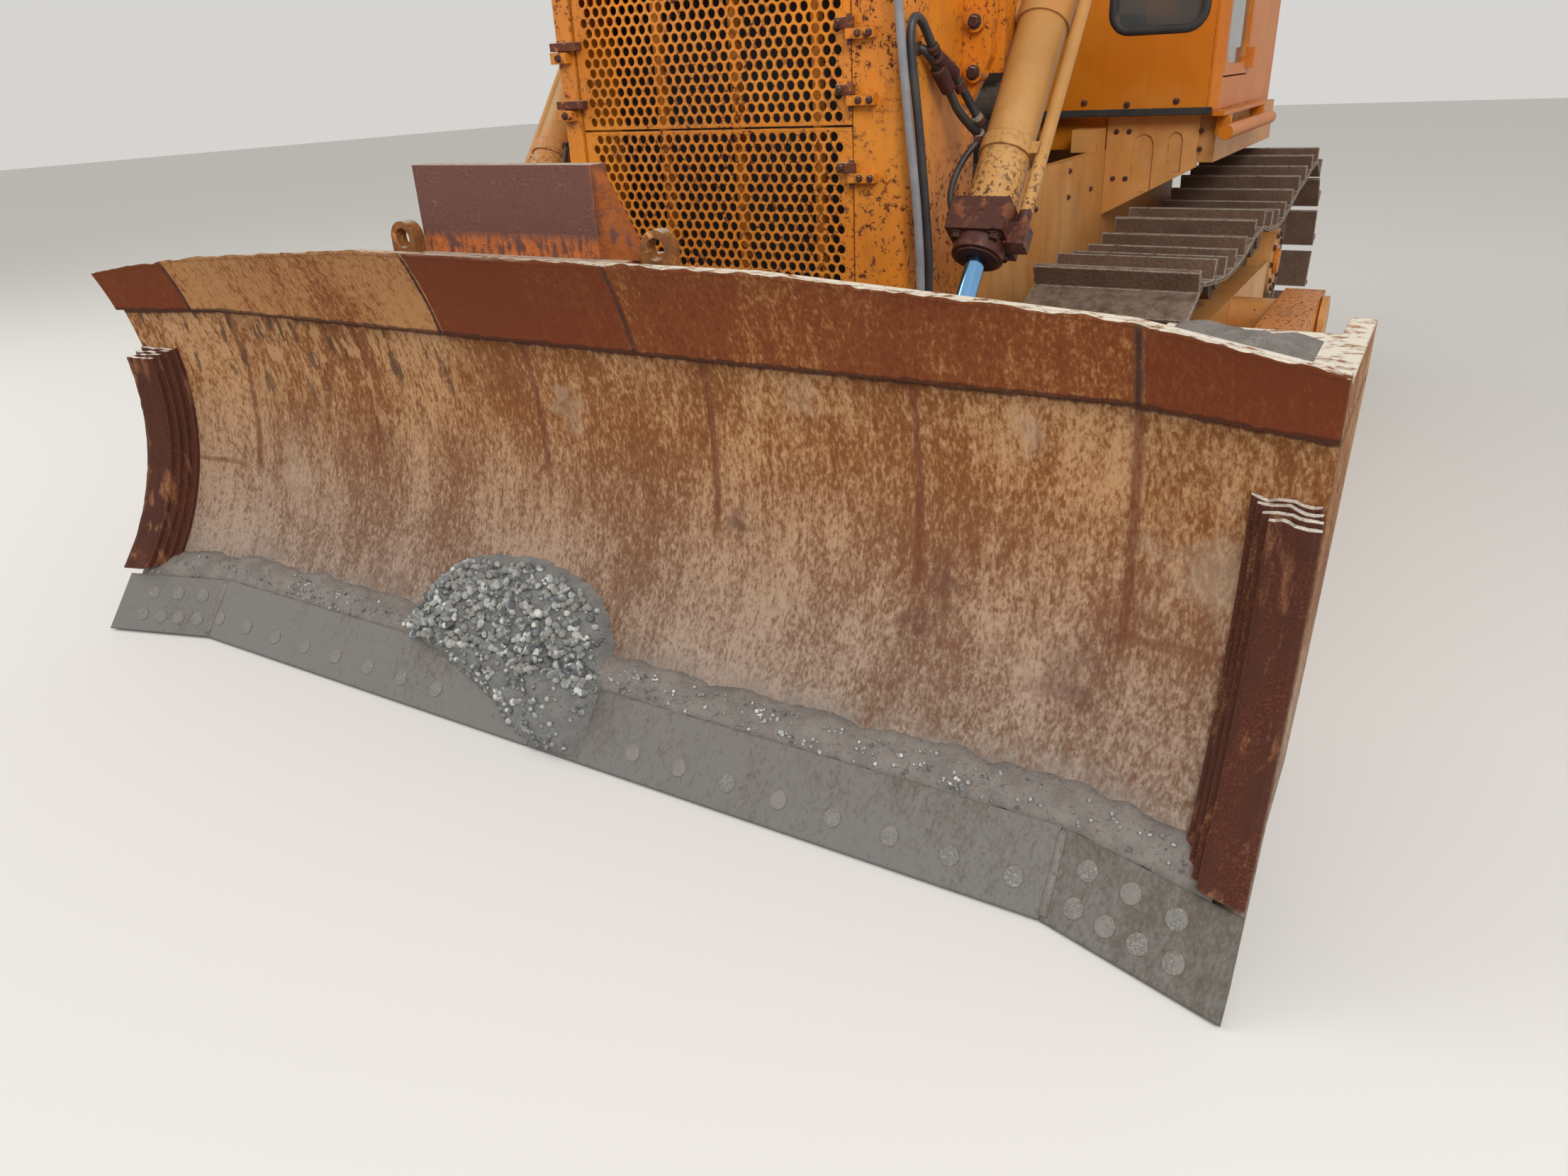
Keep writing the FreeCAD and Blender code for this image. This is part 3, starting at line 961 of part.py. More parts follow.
node(gathered("controls_all", [
    box("dash", ("-430", at("3690"), "cab_floor_z + 0.5"), ("860", "260", "760")),
    box("console_side", ("300", at("4150"), "cab_floor_z + 0.5"), ("180", "600", "520")),
    wheel("lever_blade", ("390", at("4300"), "cab_floor_z + 520.5"), "z", "14", "310", 12),
    wheel("lever_gear", ("-340", at("4300"), "cab_floor_z + 0.5"), "z", "16", "700", 12),
]), "controls")

# tank, rear case and drawbar behind the cab
tank = prism("fuel_tank_box", "x", [
    (at("cab_back + seat_gap"), "side_plate_top"), (at("cab_back + seat_gap"), "side_plate_top + 760"),
    (at("cab_back + 470"), "side_plate_top + 760"), (at("cab_back + 560"), "side_plate_top + 670"),
    (at("cab_back + 560"), "side_plate_top"),
], "-560", "1120")
node(tank, "fuel_tank")
node(joined("rear_whole", [
    box("rear_case_box", ("-430", at("rail_back + 0.5"), "560"), ("860", "560", "800")),
    box("drawbar_mount", ("-260", at("rail_back + 560"), "430"), ("520", "330", "300")),
]), "rear_case")
tow = box("tow_bar", ("-90", at("rail_back + 890 + seat_gap"), "500"), ("180", "287", "110"))
tow_hole = rod("tow_hole", ("0", at("rail_back + 1100"), "480"), "z", "32", "150")
node(less("tow_bored", tow, tow_hole), "drawbar")

doc.recompute()
faults = []
for item in doc.Objects:
    if "Invalid" in item.State or "Error" in item.State:
        faults.append(item.Name)
for item in nodes:
    if item.Shape.isNull() or not item.Shape.isValid() or not item.Shape.Solids:
        faults.append(item.Label + " shape")
if faults:
    raise SystemExit("bad objects: " + ", ".join(faults))
os.makedirs("parts", exist_ok=True)
for item in nodes:
    item.Shape.exportStep("parts/%s.step" % item.Label)
    print("%-22s %3d solids %8.4f m3" % (item.Label, len(item.Shape.Solids), item.Shape.Volume / 1e9))
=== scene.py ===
import math
import random
import bmesh
import bpy
from mathutils import Matrix, Vector, noise


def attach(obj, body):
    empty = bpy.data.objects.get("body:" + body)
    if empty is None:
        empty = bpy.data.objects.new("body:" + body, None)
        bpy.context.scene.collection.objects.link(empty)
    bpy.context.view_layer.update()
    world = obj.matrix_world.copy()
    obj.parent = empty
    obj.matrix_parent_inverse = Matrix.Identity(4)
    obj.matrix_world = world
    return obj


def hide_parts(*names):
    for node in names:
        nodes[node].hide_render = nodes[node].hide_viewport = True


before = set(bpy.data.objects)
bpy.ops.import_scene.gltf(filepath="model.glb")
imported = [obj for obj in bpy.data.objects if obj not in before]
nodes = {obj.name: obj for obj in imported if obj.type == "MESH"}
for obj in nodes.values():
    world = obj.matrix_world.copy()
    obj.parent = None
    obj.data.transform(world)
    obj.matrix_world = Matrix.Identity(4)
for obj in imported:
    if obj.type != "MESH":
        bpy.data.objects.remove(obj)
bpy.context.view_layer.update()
print("frame loaded:", len(nodes), "nodes")

# camera: where the photographer stood, in front of the blade's left half
photoCamera = {"place": (2.0943, -5.0668, 1.7923), "yaw": 31.584, "pitch": 25.663, "roll": -2.761,
               "focalPixels": 1509.7, "imageWide": 2212, "sensorWide": 36.0, "near": 0.05,
               "far": 200}


def makeCamera(spec):
    yaw, pitch, roll = (math.radians(spec[word]) for word in ("yaw", "pitch", "roll"))
    ahead = Vector((-math.sin(yaw) * math.cos(pitch), math.cos(yaw) * math.cos(pitch),
                    -math.sin(pitch)))
    right = Vector((math.cos(yaw), math.sin(yaw), 0))
    up = right.cross(ahead)
    rightRolled = math.cos(roll) * right + math.sin(roll) * up
    upRolled = -math.sin(roll) * right + math.cos(roll) * up
    data = bpy.data.cameras.new("photoCamera")
    data.sensor_width = spec["sensorWide"]
    data.lens = spec["focalPixels"] / spec["imageWide"] * spec["sensorWide"]
    data.clip_start, data.clip_end = spec["near"], spec["far"]
    camera = bpy.data.objects.new("photoCamera", data)
    turn = Matrix((rightRolled, upRolled, -ahead)).transposed()
    camera.matrix_world = Matrix.Translation(spec["place"]) @ turn.to_4x4()
    bpy.context.scene.collection.objects.link(camera)
    bpy.context.scene.camera = camera


makeCamera(photoCamera)


# stations count back from the cutting edge, in millimetres, as on the drawing
edgeStation = -3176.5


def atStation(x, station, z):
    return Vector((x / 1000, (station + edgeStation) / 1000, z / 1000))


# colour and node helpers
def srgb(text, alpha=1.0):
    parts = [int(text[i:i + 2], 16) / 255 for i in (1, 3, 5)]
    return tuple(p / 12.92 if p <= 0.04045 else ((p + 0.055) / 1.055) ** 2.4
                 for p in parts) + (alpha,)


def add(tree, kind, links=None, **settings):
    node = tree.nodes.new(kind)
    for name, value in settings.items():
        setattr(node, name, value)
    for socket, value in (links or {}).items():
        if isinstance(value, bpy.types.NodeSocket):
            tree.links.new(value, node.inputs[socket])
        else:
            node.inputs[socket].default_value = value
    return node


def newMaterial(name):
    material = bpy.data.materials.new(name)
    material.use_nodes = True
    material.node_tree.nodes.clear()
    return material, material.node_tree


def ranged(tree, value, low, high, toLow=0.0, toHigh=1.0):
    links = {0: value, 1: low, 2: high, 3: toLow, 4: toHigh}
    return add(tree, "ShaderNodeMapRange", links, clamp=True).outputs[0]


# full below low, nothing above high
def falling(tree, value, low, high):
    return ranged(tree, value, low, high, 1.0, 0.0)


def maths(tree, operation, *values, clamp=False):
    links = dict(enumerate(values))
    return add(tree, "ShaderNodeMath", links, operation=operation, use_clamp=clamp).outputs[0]


def herePlace(tree):
    return add(tree, "ShaderNodeTexCoord").outputs["Object"]


def axes(tree):
    return add(tree, "ShaderNodeSeparateXYZ", {0: herePlace(tree)}).outputs


# raw noise, grain is the size of its patches in mm; shift moves to another part of the same noise
def clouds(tree, grain, stretch=(1, 1, 1), shift=0.0, detail=6.0, rough=0.6):
    scale = [1000 / grain / s for s in stretch]
    offset = (shift, shift * 1.7, shift * 0.6)
    turned = add(tree, "ShaderNodeMapping", {0: herePlace(tree), 1: offset, 3: scale}).outputs[0]
    links = {0: turned, "Scale": 1.0, "Detail": detail, "Roughness": rough}
    return add(tree, "ShaderNodeTexNoise", links).outputs[0]


# a mask of patches; low and high are where it starts and is full
def mottle(tree, grain, low, high, **shape):
    return ranged(tree, clouds(tree, grain, **shape), low, high)


def heightMask(tree, low, high):
    return ranged(tree, axes(tree)[2], low, high)


# full on faces that look up, where dust settles; on the blade's plates these faces also get painted
# sunlight
def facingUp(tree, low=0.6, high=0.95):
    normal = add(tree, "ShaderNodeNewGeometry").outputs["Normal"]
    return ranged(tree, add(tree, "ShaderNodeSeparateXYZ", {0: normal}).outputs[2], low, high)


# full along sharp edges: there the rounded normal leaves the flat one
def wornEdges(tree, radius, low=0.02, high=0.2):
    rounded = add(tree, "ShaderNodeBevel", {0: radius}, samples=3).outputs[0]
    flat = add(tree, "ShaderNodeNewGeometry").outputs["Normal"]
    agree = add(tree, "ShaderNodeVectorMath", {0: rounded, 1: flat},
                operation="DOT_PRODUCT").outputs["Value"]
    return ranged(tree, agree, 1 - low, 1 - high)


def both(tree, one, other, operation="MULTIPLY"):
    return maths(tree, operation, one, other, clamp=True)


# a band across the surface with an uneven edge, such as a weld seam: its place, lean, half width
# and the two ends of its reach, in metres
def seamBand(tree, across, along, at, lean, half, low, high):
    centre = maths(tree, "MULTIPLY_ADD", along, lean, at - lean * (low + high) / 2)
    wobble = maths(tree, "MULTIPLY_ADD", clouds(tree, 40, shift=at * 3), 0.022, -0.011)
    off = maths(tree, "ADD", maths(tree, "SUBTRACT", across, centre), wobble)
    band = falling(tree, maths(tree, "ABSOLUTE", off), half * 0.55, half * 1.3)
    starts = ranged(tree, along, low - 0.02, low + 0.04)
    ends = falling(tree, along, high - 0.02, high + 0.02)
    return both(tree, band, both(tree, starts, ends))


# a blot round a place in metres, its edge broken up
def blotMask(tree, place, radius):
    here = herePlace(tree)
    gap = add(tree, "ShaderNodeVectorMath", {0: here, 1: place}, operation="DISTANCE")
    breaks = clouds(tree, radius * 900, shift=place[0], detail=9)
    ragged = maths(tree, "MULTIPLY_ADD", breaks, radius * 5.0, gap.outputs["Value"])
    return falling(tree, ragged, radius * 2.5, radius * 3.6)


# a ramp in flat steps: (share where it starts, colour) pairs
def steppedRamp(tree, value, steps):
    ramp = add(tree, "ShaderNodeValToRGB", {0: value})
    ramp.color_ramp.interpolation = "CONSTANT"
    points = ramp.color_ramp.elements
    for i, (where, colour) in enumerate(steps):
        point = points[i] if i < 2 else points.new(where)
        point.position = where
        point.color = colour
    return ramp.outputs[0]


# flat steps of one value along an axis: (start in metres, value) pairs
def stepsAlong(tree, socket, steps, reach=2.2):
    shares = [((start + reach) / (2 * reach), (value, value, value, 1)) for start, value in steps]
    return steppedRamp(tree, ranged(tree, socket, -reach, reach), shares)


# colours laid over each other, each through its own mask
def coats(tree, ground, *layers):
    colour = srgb(ground) if isinstance(ground, str) else ground
    for mask, tone in layers:
        tone = srgb(tone) if isinstance(tone, str) else tone
        colour = add(tree, "ShaderNodeMix", {0: mask, 6: colour, 7: tone},
                     data_type="RGBA").outputs[2]
    return colour


def shade(tree, colour, roughness, relief=None, reliefDepth=0.001, rounding=0.004, **settings):
    shader = add(tree, "ShaderNodeBsdfPrincipled",
                 {"Base Color": colour, "Roughness": roughness, **settings})
    normal = add(tree, "ShaderNodeBevel", {0: rounding}, samples=3).outputs[0] if rounding else None
    if relief is not None:
        bump = add(tree, "ShaderNodeBump",
                   {"Distance": reliefDepth, "Height": relief, "Strength": 1.0})
        if normal is not None:
            tree.links.new(normal, bump.inputs["Normal"])
        normal = bump.outputs[0]
    if normal is not None:
        tree.links.new(normal, shader.inputs["Normal"])
    add(tree, "ShaderNodeOutputMaterial", {0: shader.outputs[0]})
    return shader


# alkyd enamel on steel, sun-faded: chalky and half matt; rust breaks through at edges, at chips
# and low down
def enamelPaint(name, tone, faded, deep, rustAmount=0.0, grime=0.4, rustLow=None, tail=None):
    material, tree = newMaterial(name)
    chalk = mottle(tree, 420, 0.42, 0.7, detail=5)
    runs = mottle(tree, 60, 0.52, 0.75, stretch=(1, 1, 9), shift=3)
    fields = clouds(tree, 330, shift=11, detail=4)
    if rustLow:
        lowDown = heightMask(tree, *rustLow)
        fields = maths(tree, "ADD", fields, ranged(tree, lowDown, 0, 1, 0.16, 0.0))
    fields = ranged(tree, fields, 0.52 - rustAmount, 0.66 - rustAmount)
    chips = mottle(tree, 20, 0.62 - rustAmount, 0.65 - rustAmount, shift=7, detail=9, rough=0.75)
    edges = both(tree, wornEdges(tree, 0.006), mottle(tree, 40, 0.48, 0.6, shift=13))
    rustMask = both(tree, both(tree, chips, fields), edges, "ADD")
    soot = both(tree, mottle(tree, 200, 0.5, 0.8, stretch=(1, 1, 3), shift=17), grime)
    colour = coats(tree, tone, (chalk, faded), (both(tree, runs, 0.35), deep), (soot, "#6A4426"),
                   (both(tree, fields, 0.4), "#BE7636"), (rustMask, "#6B3116"),
                   (both(tree, rustMask, mottle(tree, 12, 0.5, 0.62, shift=19)), "#32150D"))
    if tail:
        colour = coats(tree, colour, *tail(tree))
    roughness = ranged(tree, rustMask, 0, 1, 0.42, 0.85)
    relief = both(tree, mottle(tree, 8, 0.3, 0.7, shift=23), both(tree, rustMask, 0.7))
    shade(tree, colour, roughness, relief, 0.0012, **{"Specular IOR Level": 0.32})
    return material


# the lift cylinder: its trunnion's and its eye's places, in stations, for the left side
liftLine = {"trunnion": Vector((900, 1769, 1929)), "eye": Vector((900, 740, 650))}
liftDown = (liftLine["eye"] - liftLine["trunnion"]).normalized()
# its lower head and gland, soaked with oil and rust, in metres along the barrel
headSoak = {"start": 0.692, "blend": 0.002, "drips": 0.42}


def soakedHead(tree):
    top = atStation(0, *liftLine["trunnion"].yz)
    down = (atStation(0, *liftLine["eye"].yz) - top).normalized()
    off = add(tree, "ShaderNodeVectorMath", {0: herePlace(tree), 1: top}, operation="SUBTRACT")
    along = add(tree, "ShaderNodeVectorMath", {0: off.outputs[0], 1: down},
                operation="DOT_PRODUCT").outputs["Value"]
    start, blend = headSoak["start"], headSoak["blend"]
    head = ranged(tree, along, start - blend, start + blend)
    drips = mottle(tree, 14, 0.53, 0.56, shift=4, detail=8)
    blooms = mottle(tree, 46, 0.5, 0.62, shift=9, detail=7)
    scabs = mottle(tree, 30, 0.58, 0.66, shift=15)
    yield both(tree, ranged(tree, along, headSoak["drips"], start), drips), "#4A2C1E"
    yield head, "#4B2A22"
    yield both(tree, head, blooms), "#7A452C"
    yield both(tree, head, scabs), "#281411"


# hot-rolled plate scoured by soil: fine rust and bare steel speckled together, drawn out down the
# curve; the finest grain of the real plate is drawn coarser here, at 8 mm
def scouredPlate(name, spec, marks=None, steps=None):
    material, tree = newMaterial(name)
    height = heightMask(tree, spec["low"], spec["high"])
    wide = clouds(tree, 330, stretch=(1, 1.4, 1.9), shift=5, detail=4)
    streaks = clouds(tree, 36, stretch=(1, 5, 8), shift=2, detail=6)
    grain = clouds(tree, spec["grain"], stretch=(1, 1.4, 2.2), shift=9, detail=9, rough=0.78)
    fine = clouds(tree, 8, stretch=(1, 1.4, 2.2), shift=4, detail=4)
    share = maths(tree, "MULTIPLY_ADD", height, spec["rise"], spec["bias"] - 2.35)
    for part, weight in ((wide, 1.15), (streaks, 0.6), (grain, 1.75), (fine, 1.2)):
        share = maths(tree, "MULTIPLY_ADD", part, weight, share)
    if steps:
        share = maths(tree, "ADD", share, stepsAlong(tree, axes(tree)[0], steps))
        share = maths(tree, "SUBTRACT", share, 0.5)
    rustMask = ranged(tree, share, 0.30, 0.70)
    deepMask = ranged(tree, share, 0.66, 1.15)
    bare = coats(tree, spec["bareLow"], (height, spec["bareHigh"]))
    rust = coats(tree, spec["rustLow"], (height, spec["rust"]))
    pits = mottle(tree, 13, 0.62, 0.7, stretch=(1, 1.3, 2), shift=31, detail=5)
    colour = coats(tree, bare, (rustMask, rust), (deepMask, spec["deep"]),
                   (both(tree, pits, 0.45), spec["deep"]))
    if marks:
        colour = coats(tree, colour, *marks(tree))
    # faces that look up get dust, and its near-white tone on the blade also paints sunlight on the tops
    dusty = both(tree, facingUp(tree, 0.75, 0.95), mottle(tree, 30, 0.36, 0.5, shift=27))
    dusty = both(tree, dusty, ranged(tree, axes(tree)[0], -0.1, 0.3, spec["dustLeft"], 1.0))
    edges = both(tree, wornEdges(tree, 0.006), 0.5)
    colour = coats(tree, colour, (dusty, spec["dust"]), (edges, spec["edge"]))
    roughness = ranged(tree, rustMask, 0, 1, 0.55, 0.8)
    relief = maths(tree, "MULTIPLY_ADD", grain, 0.7, maths(tree, "MULTIPLY", streaks, 0.6))
    shade(tree, colour, roughness, relief, spec["depth"], rounding=0.008,
          **{"Specular IOR Level": 0.25})
    return material


# the moldboard's welded seams, in metres: (place, lean, half width, low end, high end)
uprightSeams = [(1.606, -0.026, 0.014, 0.53, 1.13), (1.075, -0.047, 0.012, 0.56, 1.13),
                (0.460, -0.023, 0.012, 0.60, 1.13), (-0.174, -0.041, 0.012, 0.70, 1.13),
                (-1.590, 0.02, 0.012, 0.52, 1.13), (-0.93, 0.03, 0.008, 0.66, 1.1)]
levelSeams = [(0.588, 0.13, 0.012, 1.61, 1.93), (0.566, -0.06, 0.009, -1.93, -1.66)]
# blots of dark film and of pale silt: (place, radius)
boardBlots = [((1.503, -2.81, 0.49), 0.10), ((1.156, -2.79, 0.60), 0.075),
              ((1.10, -2.82, 0.50), 0.05), ((0.53, -2.78, 0.66), 0.05),
              ((0.46, -2.77, 0.75), 0.035), ((-0.80, -2.91, 0.28), 0.12)]
paleBlots = [((-0.05, -2.74, 0.92), 0.08), ((1.78, -2.82, 0.78), 0.13), ((1.35, -2.74, 1.02), 0.06),
             ((0.75, -2.74, 1.04), 0.06), ((1.95, -2.87, 0.5), 0.09), ((-1.35, -2.76, 0.55), 0.12)]
gougeField = {"right": -0.3, "fade": 0.3, "low": 0.62, "high": 0.95}
# the shadowed line where the top strip meets the plate, and the silt low down
stripFoot = {"board": 1.117, "strip": 1.13, "half": 0.006, "reach": 2.1, "tone": "#3E1F12"}
boardSilt = {"full": 0.235, "ends": 0.30}


# the dark line along the top strip's foot
def footLine(tree, x, z, height):
    reach = stripFoot["reach"]
    band = seamBand(tree, z, x, height, 0.0, stripFoot["half"], -reach, reach)
    return both(tree, band, 0.8), stripFoot["tone"]


def boardMarks(tree):
    x, _, z = axes(tree)
    for seam in uprightSeams:
        yield both(tree, seamBand(tree, x, z, *seam), 0.72), "#64361F"
    for seam in levelSeams:
        yield both(tree, seamBand(tree, z, x, *seam), 0.6), "#6E4630"
    for place, radius in boardBlots:
        yield both(tree, blotMask(tree, place, radius), 0.7), "#5B3D32"
    for place, radius in paleBlots:
        yield both(tree, blotMask(tree, place, radius), 0.45), "#A8927C"
    right = gougeField["right"]
    field = both(tree, falling(tree, x, right - gougeField["fade"], right),
                 ranged(tree, z, gougeField["low"], gougeField["high"]))
    flakes = mottle(tree, 34, 0.53, 0.57, stretch=(1, 2, 2.6), shift=47, detail=7)
    scars = mottle(tree, 40, 0.58, 0.61, stretch=(1, 2, 3.2), shift=53, detail=7)
    yield both(tree, both(tree, field, flakes), 0.7), "#B38B62"
    yield both(tree, both(tree, field, scars), 0.8), "#4C3526"
    yield footLine(tree, x, z, stripFoot["board"])
    silt = falling(tree, z, boardSilt["full"], boardSilt["ends"])
    yield both(tree, silt, mottle(tree, 70, 0.4, 0.6, shift=41)), "#7E746B"


# joints between the strip's lengths: (place, lean, half width)
stripJoints = [(-1.691, 0.0, 0.007), (-0.476, 0.0, 0.007), (0.263, 0.0, 0.007), (1.602, 0.0, 0.012)]
stripEnd = {"from": -1.86, "to": -1.80, "jointLow": 1.0, "jointHigh": 1.45}


def stripMarks(tree):
    x, _, z = axes(tree)
    for joint in stripJoints:
        band = seamBand(tree, x, z, *joint, stripEnd["jointLow"], stripEnd["jointHigh"])
        yield both(tree, band, 0.75), "#55402F"
    yield footLine(tree, x, z, stripFoot["strip"])
    freshEnd = falling(tree, x, stripEnd["from"], stripEnd["to"])
    yield both(tree, both(tree, facingUp(tree), freshEnd), 0.9), "#E07A26"


# low and high: where the lower tones give way to the upper ones; bias: how far rust outweighs steel


# dust: the tone of faces that look up, dust together with painted sunlight on the tops
boardSpec = {"low": 0.25, "high": 0.9, "rise": 0.14, "bias": 0.48, "grain": 15,
             "bareLow": "#978577", "bareHigh": "#B0875F", "rustLow": "#715C4D", "rust": "#7E4E28",
             "deep": "#663A1E", "dust": "#D6CDBD", "dustLeft": 0.5, "edge": "#B08D6C",
             "depth": 0.0022}
stripSpec = {**boardSpec, "low": -2.0, "high": -1.0, "rise": 0.1, "bias": 0.42,
             "bareHigh": "#A87848", "rust": "#7B431F", "deep": "#6A3014", "dust": "#DED4C2",
             "dustLeft": 0.1, "edge": "#9C6A46"}
stripSteps = [(-2.2, 1.15), (-1.691, 0.42), (-0.476, 1.15), (0.263, 0.82), (1.602, 1.15)]
edgeSpec = {**boardSpec, "low": -0.3, "high": 0.35, "rise": 0.1, "bias": 0.3, "grain": 19,
            "bareLow": "#6E6D6C", "bareHigh": "#706B66", "rustLow": "#64605A", "rust": "#625A51",
            "deep": "#54493F", "dust": "#8A857E", "dustLeft": 1.0, "edge": "#8C877F",
            "depth": 0.0012}
edgeSteps = [(-2.2, 0.35), (-1.2, 0.4), (0.0, 0.5), (1.579, 0.75)]


# heavy rust on cast or plate steel: dark scale with brighter powder in it
def scaledRust(name, tone, dark, bright, brightAmount=0.0, grain=34, streaked=1.0, tail=None,
               dust="#B5A795"):
    material, tree = newMaterial(name)
    patches = mottle(tree, 90, 0.4, 0.62, stretch=(1, 1, streaked), shift=3, detail=7)
    powder = mottle(tree, grain, 0.62 - brightAmount, 0.72 - brightAmount, stretch=(1, 1, streaked),
                    shift=6, detail=8)
    pits = mottle(tree, 7, 0.45, 0.6, shift=9, detail=7)
    edges = wornEdges(tree, 0.005)
    dusty = both(tree, facingUp(tree, 0.8, 0.97), mottle(tree, 26, 0.3, 0.45, shift=27))
    colour = coats(tree, tone, (both(tree, patches, 0.7), dark), (powder, bright),
                   (both(tree, pits, 0.4), dark))
    if tail:
        colour = coats(tree, colour, *tail(tree))
    colour = coats(tree, colour, (both(tree, edges, 0.4), "#A5806A"), (dusty, dust))
    shade(tree, colour, 0.78, both(tree, pits, patches, "ADD"), 0.002, rounding=0.005,
          **{"Specular IOR Level": 0.25})
    return material


# the box on the blade: bright rust where its foot is welded on, and on its left end
bareFoot = {"low": (1.355, 1.362), "high": (1.40, 1.43), "end": (0.155, 0.175)}


def boxFoot(tree):
    x, _, z = axes(tree)
    low = both(tree, ranged(tree, z, *bareFoot["low"]), falling(tree, z, *bareFoot["high"]))
    end = ranged(tree, x, *bareFoot["end"])
    yield both(tree, low, mottle(tree, 22, 0.40, 0.56, stretch=(1, 1, 2), shift=8)), "#C06A33"
    yield both(tree, end, mottle(tree, 50, 0.36, 0.5, shift=5)), "#9C5526"


# forged and rolled track steel: brown film, dry mud in the corners, bright where soil rubs
def trackSteel(name):
    material, tree = newMaterial(name)
    film = mottle(tree, 120, 0.35, 0.65, shift=4, detail=6)
    mud = both(tree, facingUp(tree), mottle(tree, 45, 0.35, 0.6, shift=8, detail=7))
    rub = both(tree, wornEdges(tree, 0.008, 0.01, 0.12), mottle(tree, 30, 0.3, 0.5, shift=12))
    pits = mottle(tree, 10, 0.45, 0.65, shift=16, detail=7)
    colour = coats(tree, "#5E4434", (film, "#6E5443"), (both(tree, pits, 0.35), "#44332A"),
                   (mud, "#857565"), (rub, "#CFC9BA"))
    shade(tree, colour, 0.72, pits, 0.0015, rounding=0.006, Metallic=0.1)
    return material


# engine castings under oil and dust
def oilyIron(name, tone="#2C2723"):
    material, tree = newMaterial(name)
    dust = both(tree, facingUp(tree, 0.3, 0.9), mottle(tree, 60, 0.35, 0.6, shift=5))
    rust = mottle(tree, 50, 0.56, 0.66, shift=9, detail=7)
    colour = coats(tree, tone, (both(tree, rust, 0.7), "#54301E"),
                   (both(tree, dust, 0.8), "#6C6156"))
    shade(tree, colour, 0.6, mottle(tree, 9, 0.4, 0.7, shift=13), 0.001)
    return material


# hard chrome on a ground rod: a clear mirror with fine oil marks along it, tinted blue as a painted
# reflection of the sky
def skyTintedChrome(name):
    material, tree = newMaterial(name)
    marks = mottle(tree, 12, 0.5, 0.7, stretch=(1, 8, 12), shift=5)
    # the blue of the base colour and of the oil marks is a painted sky reflection
    colour = coats(tree, "#86BCEE", (both(tree, marks, 0.2), "#6A8FB4"))
    shade(tree, colour, 0.12, None, rounding=0, Metallic=1.0)
    return material


# toughened cab glass with a film of dust: clear, a little dull in patches
def toughenedGlass(name):
    material, tree = newMaterial(name)
    roughness = ranged(tree, clouds(tree, 300, shift=5), 0.4, 0.8, 0.02, 0.12)
    shade(tree, srgb("#C9D3D2"), roughness, rounding=0, **{"Transmission Weight": 0.92, "IOR": 1.5})
    return material


# rubber, vinyl, hose cover or dry soil: one tone that drifts into another
def plainSurface(name, tone, other, roughness, grain=80, depth=0.0005, rounding=0.002):
    material, tree = newMaterial(name)
    drift = mottle(tree, grain, 0.35, 0.7, shift=6, detail=7)
    relief = mottle(tree, grain / 8, 0.3, 0.7, shift=2)
    shade(tree, coats(tree, tone, (drift, other)), roughness, relief, depth, rounding)
    return material


# dry dirt: pale silt with darker crumbs, matt; in the gravel clump its tones are darkened as painted
# shade between the stones
def driedSoil(name, pale, middle, dark):
    material, tree = newMaterial(name)
    crumbs = mottle(tree, 9, 0.56, 0.62, shift=4, detail=6, rough=0.7)
    patches = mottle(tree, 60, 0.4, 0.62, shift=8)
    colour = coats(tree, pale, (patches, middle), (both(tree, crumbs, 0.7), dark))
    shade(tree, colour, 0.95, clouds(tree, 10, detail=8, rough=0.7), 0.006, rounding=0)
    return material


# river gravel: each stone has a tone of its own, by the cell that it lies in
stoneTones = {"cell": 21, "tones": ((0.0, "#505357"), (0.22, "#717576"), (0.48, "#87857F"),
                                    (0.72, "#A1A3A1"), (0.93, "#C4C5C0"))}


def riverStone(name):
    material, tree = newMaterial(name)
    cells = add(tree, "ShaderNodeTexVoronoi",
                {0: herePlace(tree), "Scale": 1000 / stoneTones["cell"]})
    pick = add(tree, "ShaderNodeSeparateXYZ", {0: cells.outputs["Color"]}).outputs[0]
    ground = steppedRamp(tree, pick, [(where, srgb(tone)) for where, tone in stoneTones["tones"]])
    dusty = both(tree, mottle(tree, 16, 0.45, 0.6, shift=3), 0.35)
    relief = clouds(tree, 5, detail=5)
    shade(tree, coats(tree, ground, (dusty, "#8C877F")), 0.85, relief, 0.001, rounding=0)
    return material


orange = enamelPaint("sunFadedOrangeEnamel", "#CB7814", "#D5903E", "#A75B10")
orangeGuard = enamelPaint("guardOrangeEnamel", "#D27A12", "#DA8C30", "#A05214", rustAmount=0.07,
                          grime=0.5, rustLow=(1.2, 1.9))
# the cab's enamel is a darker copy of the orange: painted shade; its lighter rust and grime are its own
shadedCabOrange = enamelPaint("shadedCabOrangeEnamel", "#C0680A", "#C97A1E", "#A75A06", rustAmount=-0.05,
                        grime=0.12)
paleOrange = enamelPaint("chalkedOrangeEnamel", "#C48748", "#D39E66", "#9A6632", rustAmount=0.0,
                         grime=0.45)
tan = enamelPaint("tanEnamel", "#B08046", "#BE8F56", "#976B33", rustAmount=-0.03, grime=0.3,
                  tail=soakedHead)
boardSteel = scouredPlate("scouredMoldboardSteel", boardSpec, boardMarks)
stripSteel = scouredPlate("rustedStripSteel", stripSpec, stripMarks, stripSteps)
edgeSteel = scouredPlate("bareEdgeSteel", edgeSpec, steps=edgeSteps)
sideSteel = scaledRust("sideStripRust", "#5C2F1E", "#351A12", "#86583A", 0.06, grain=48, streaked=5,
                       dust="#DDD5C8")
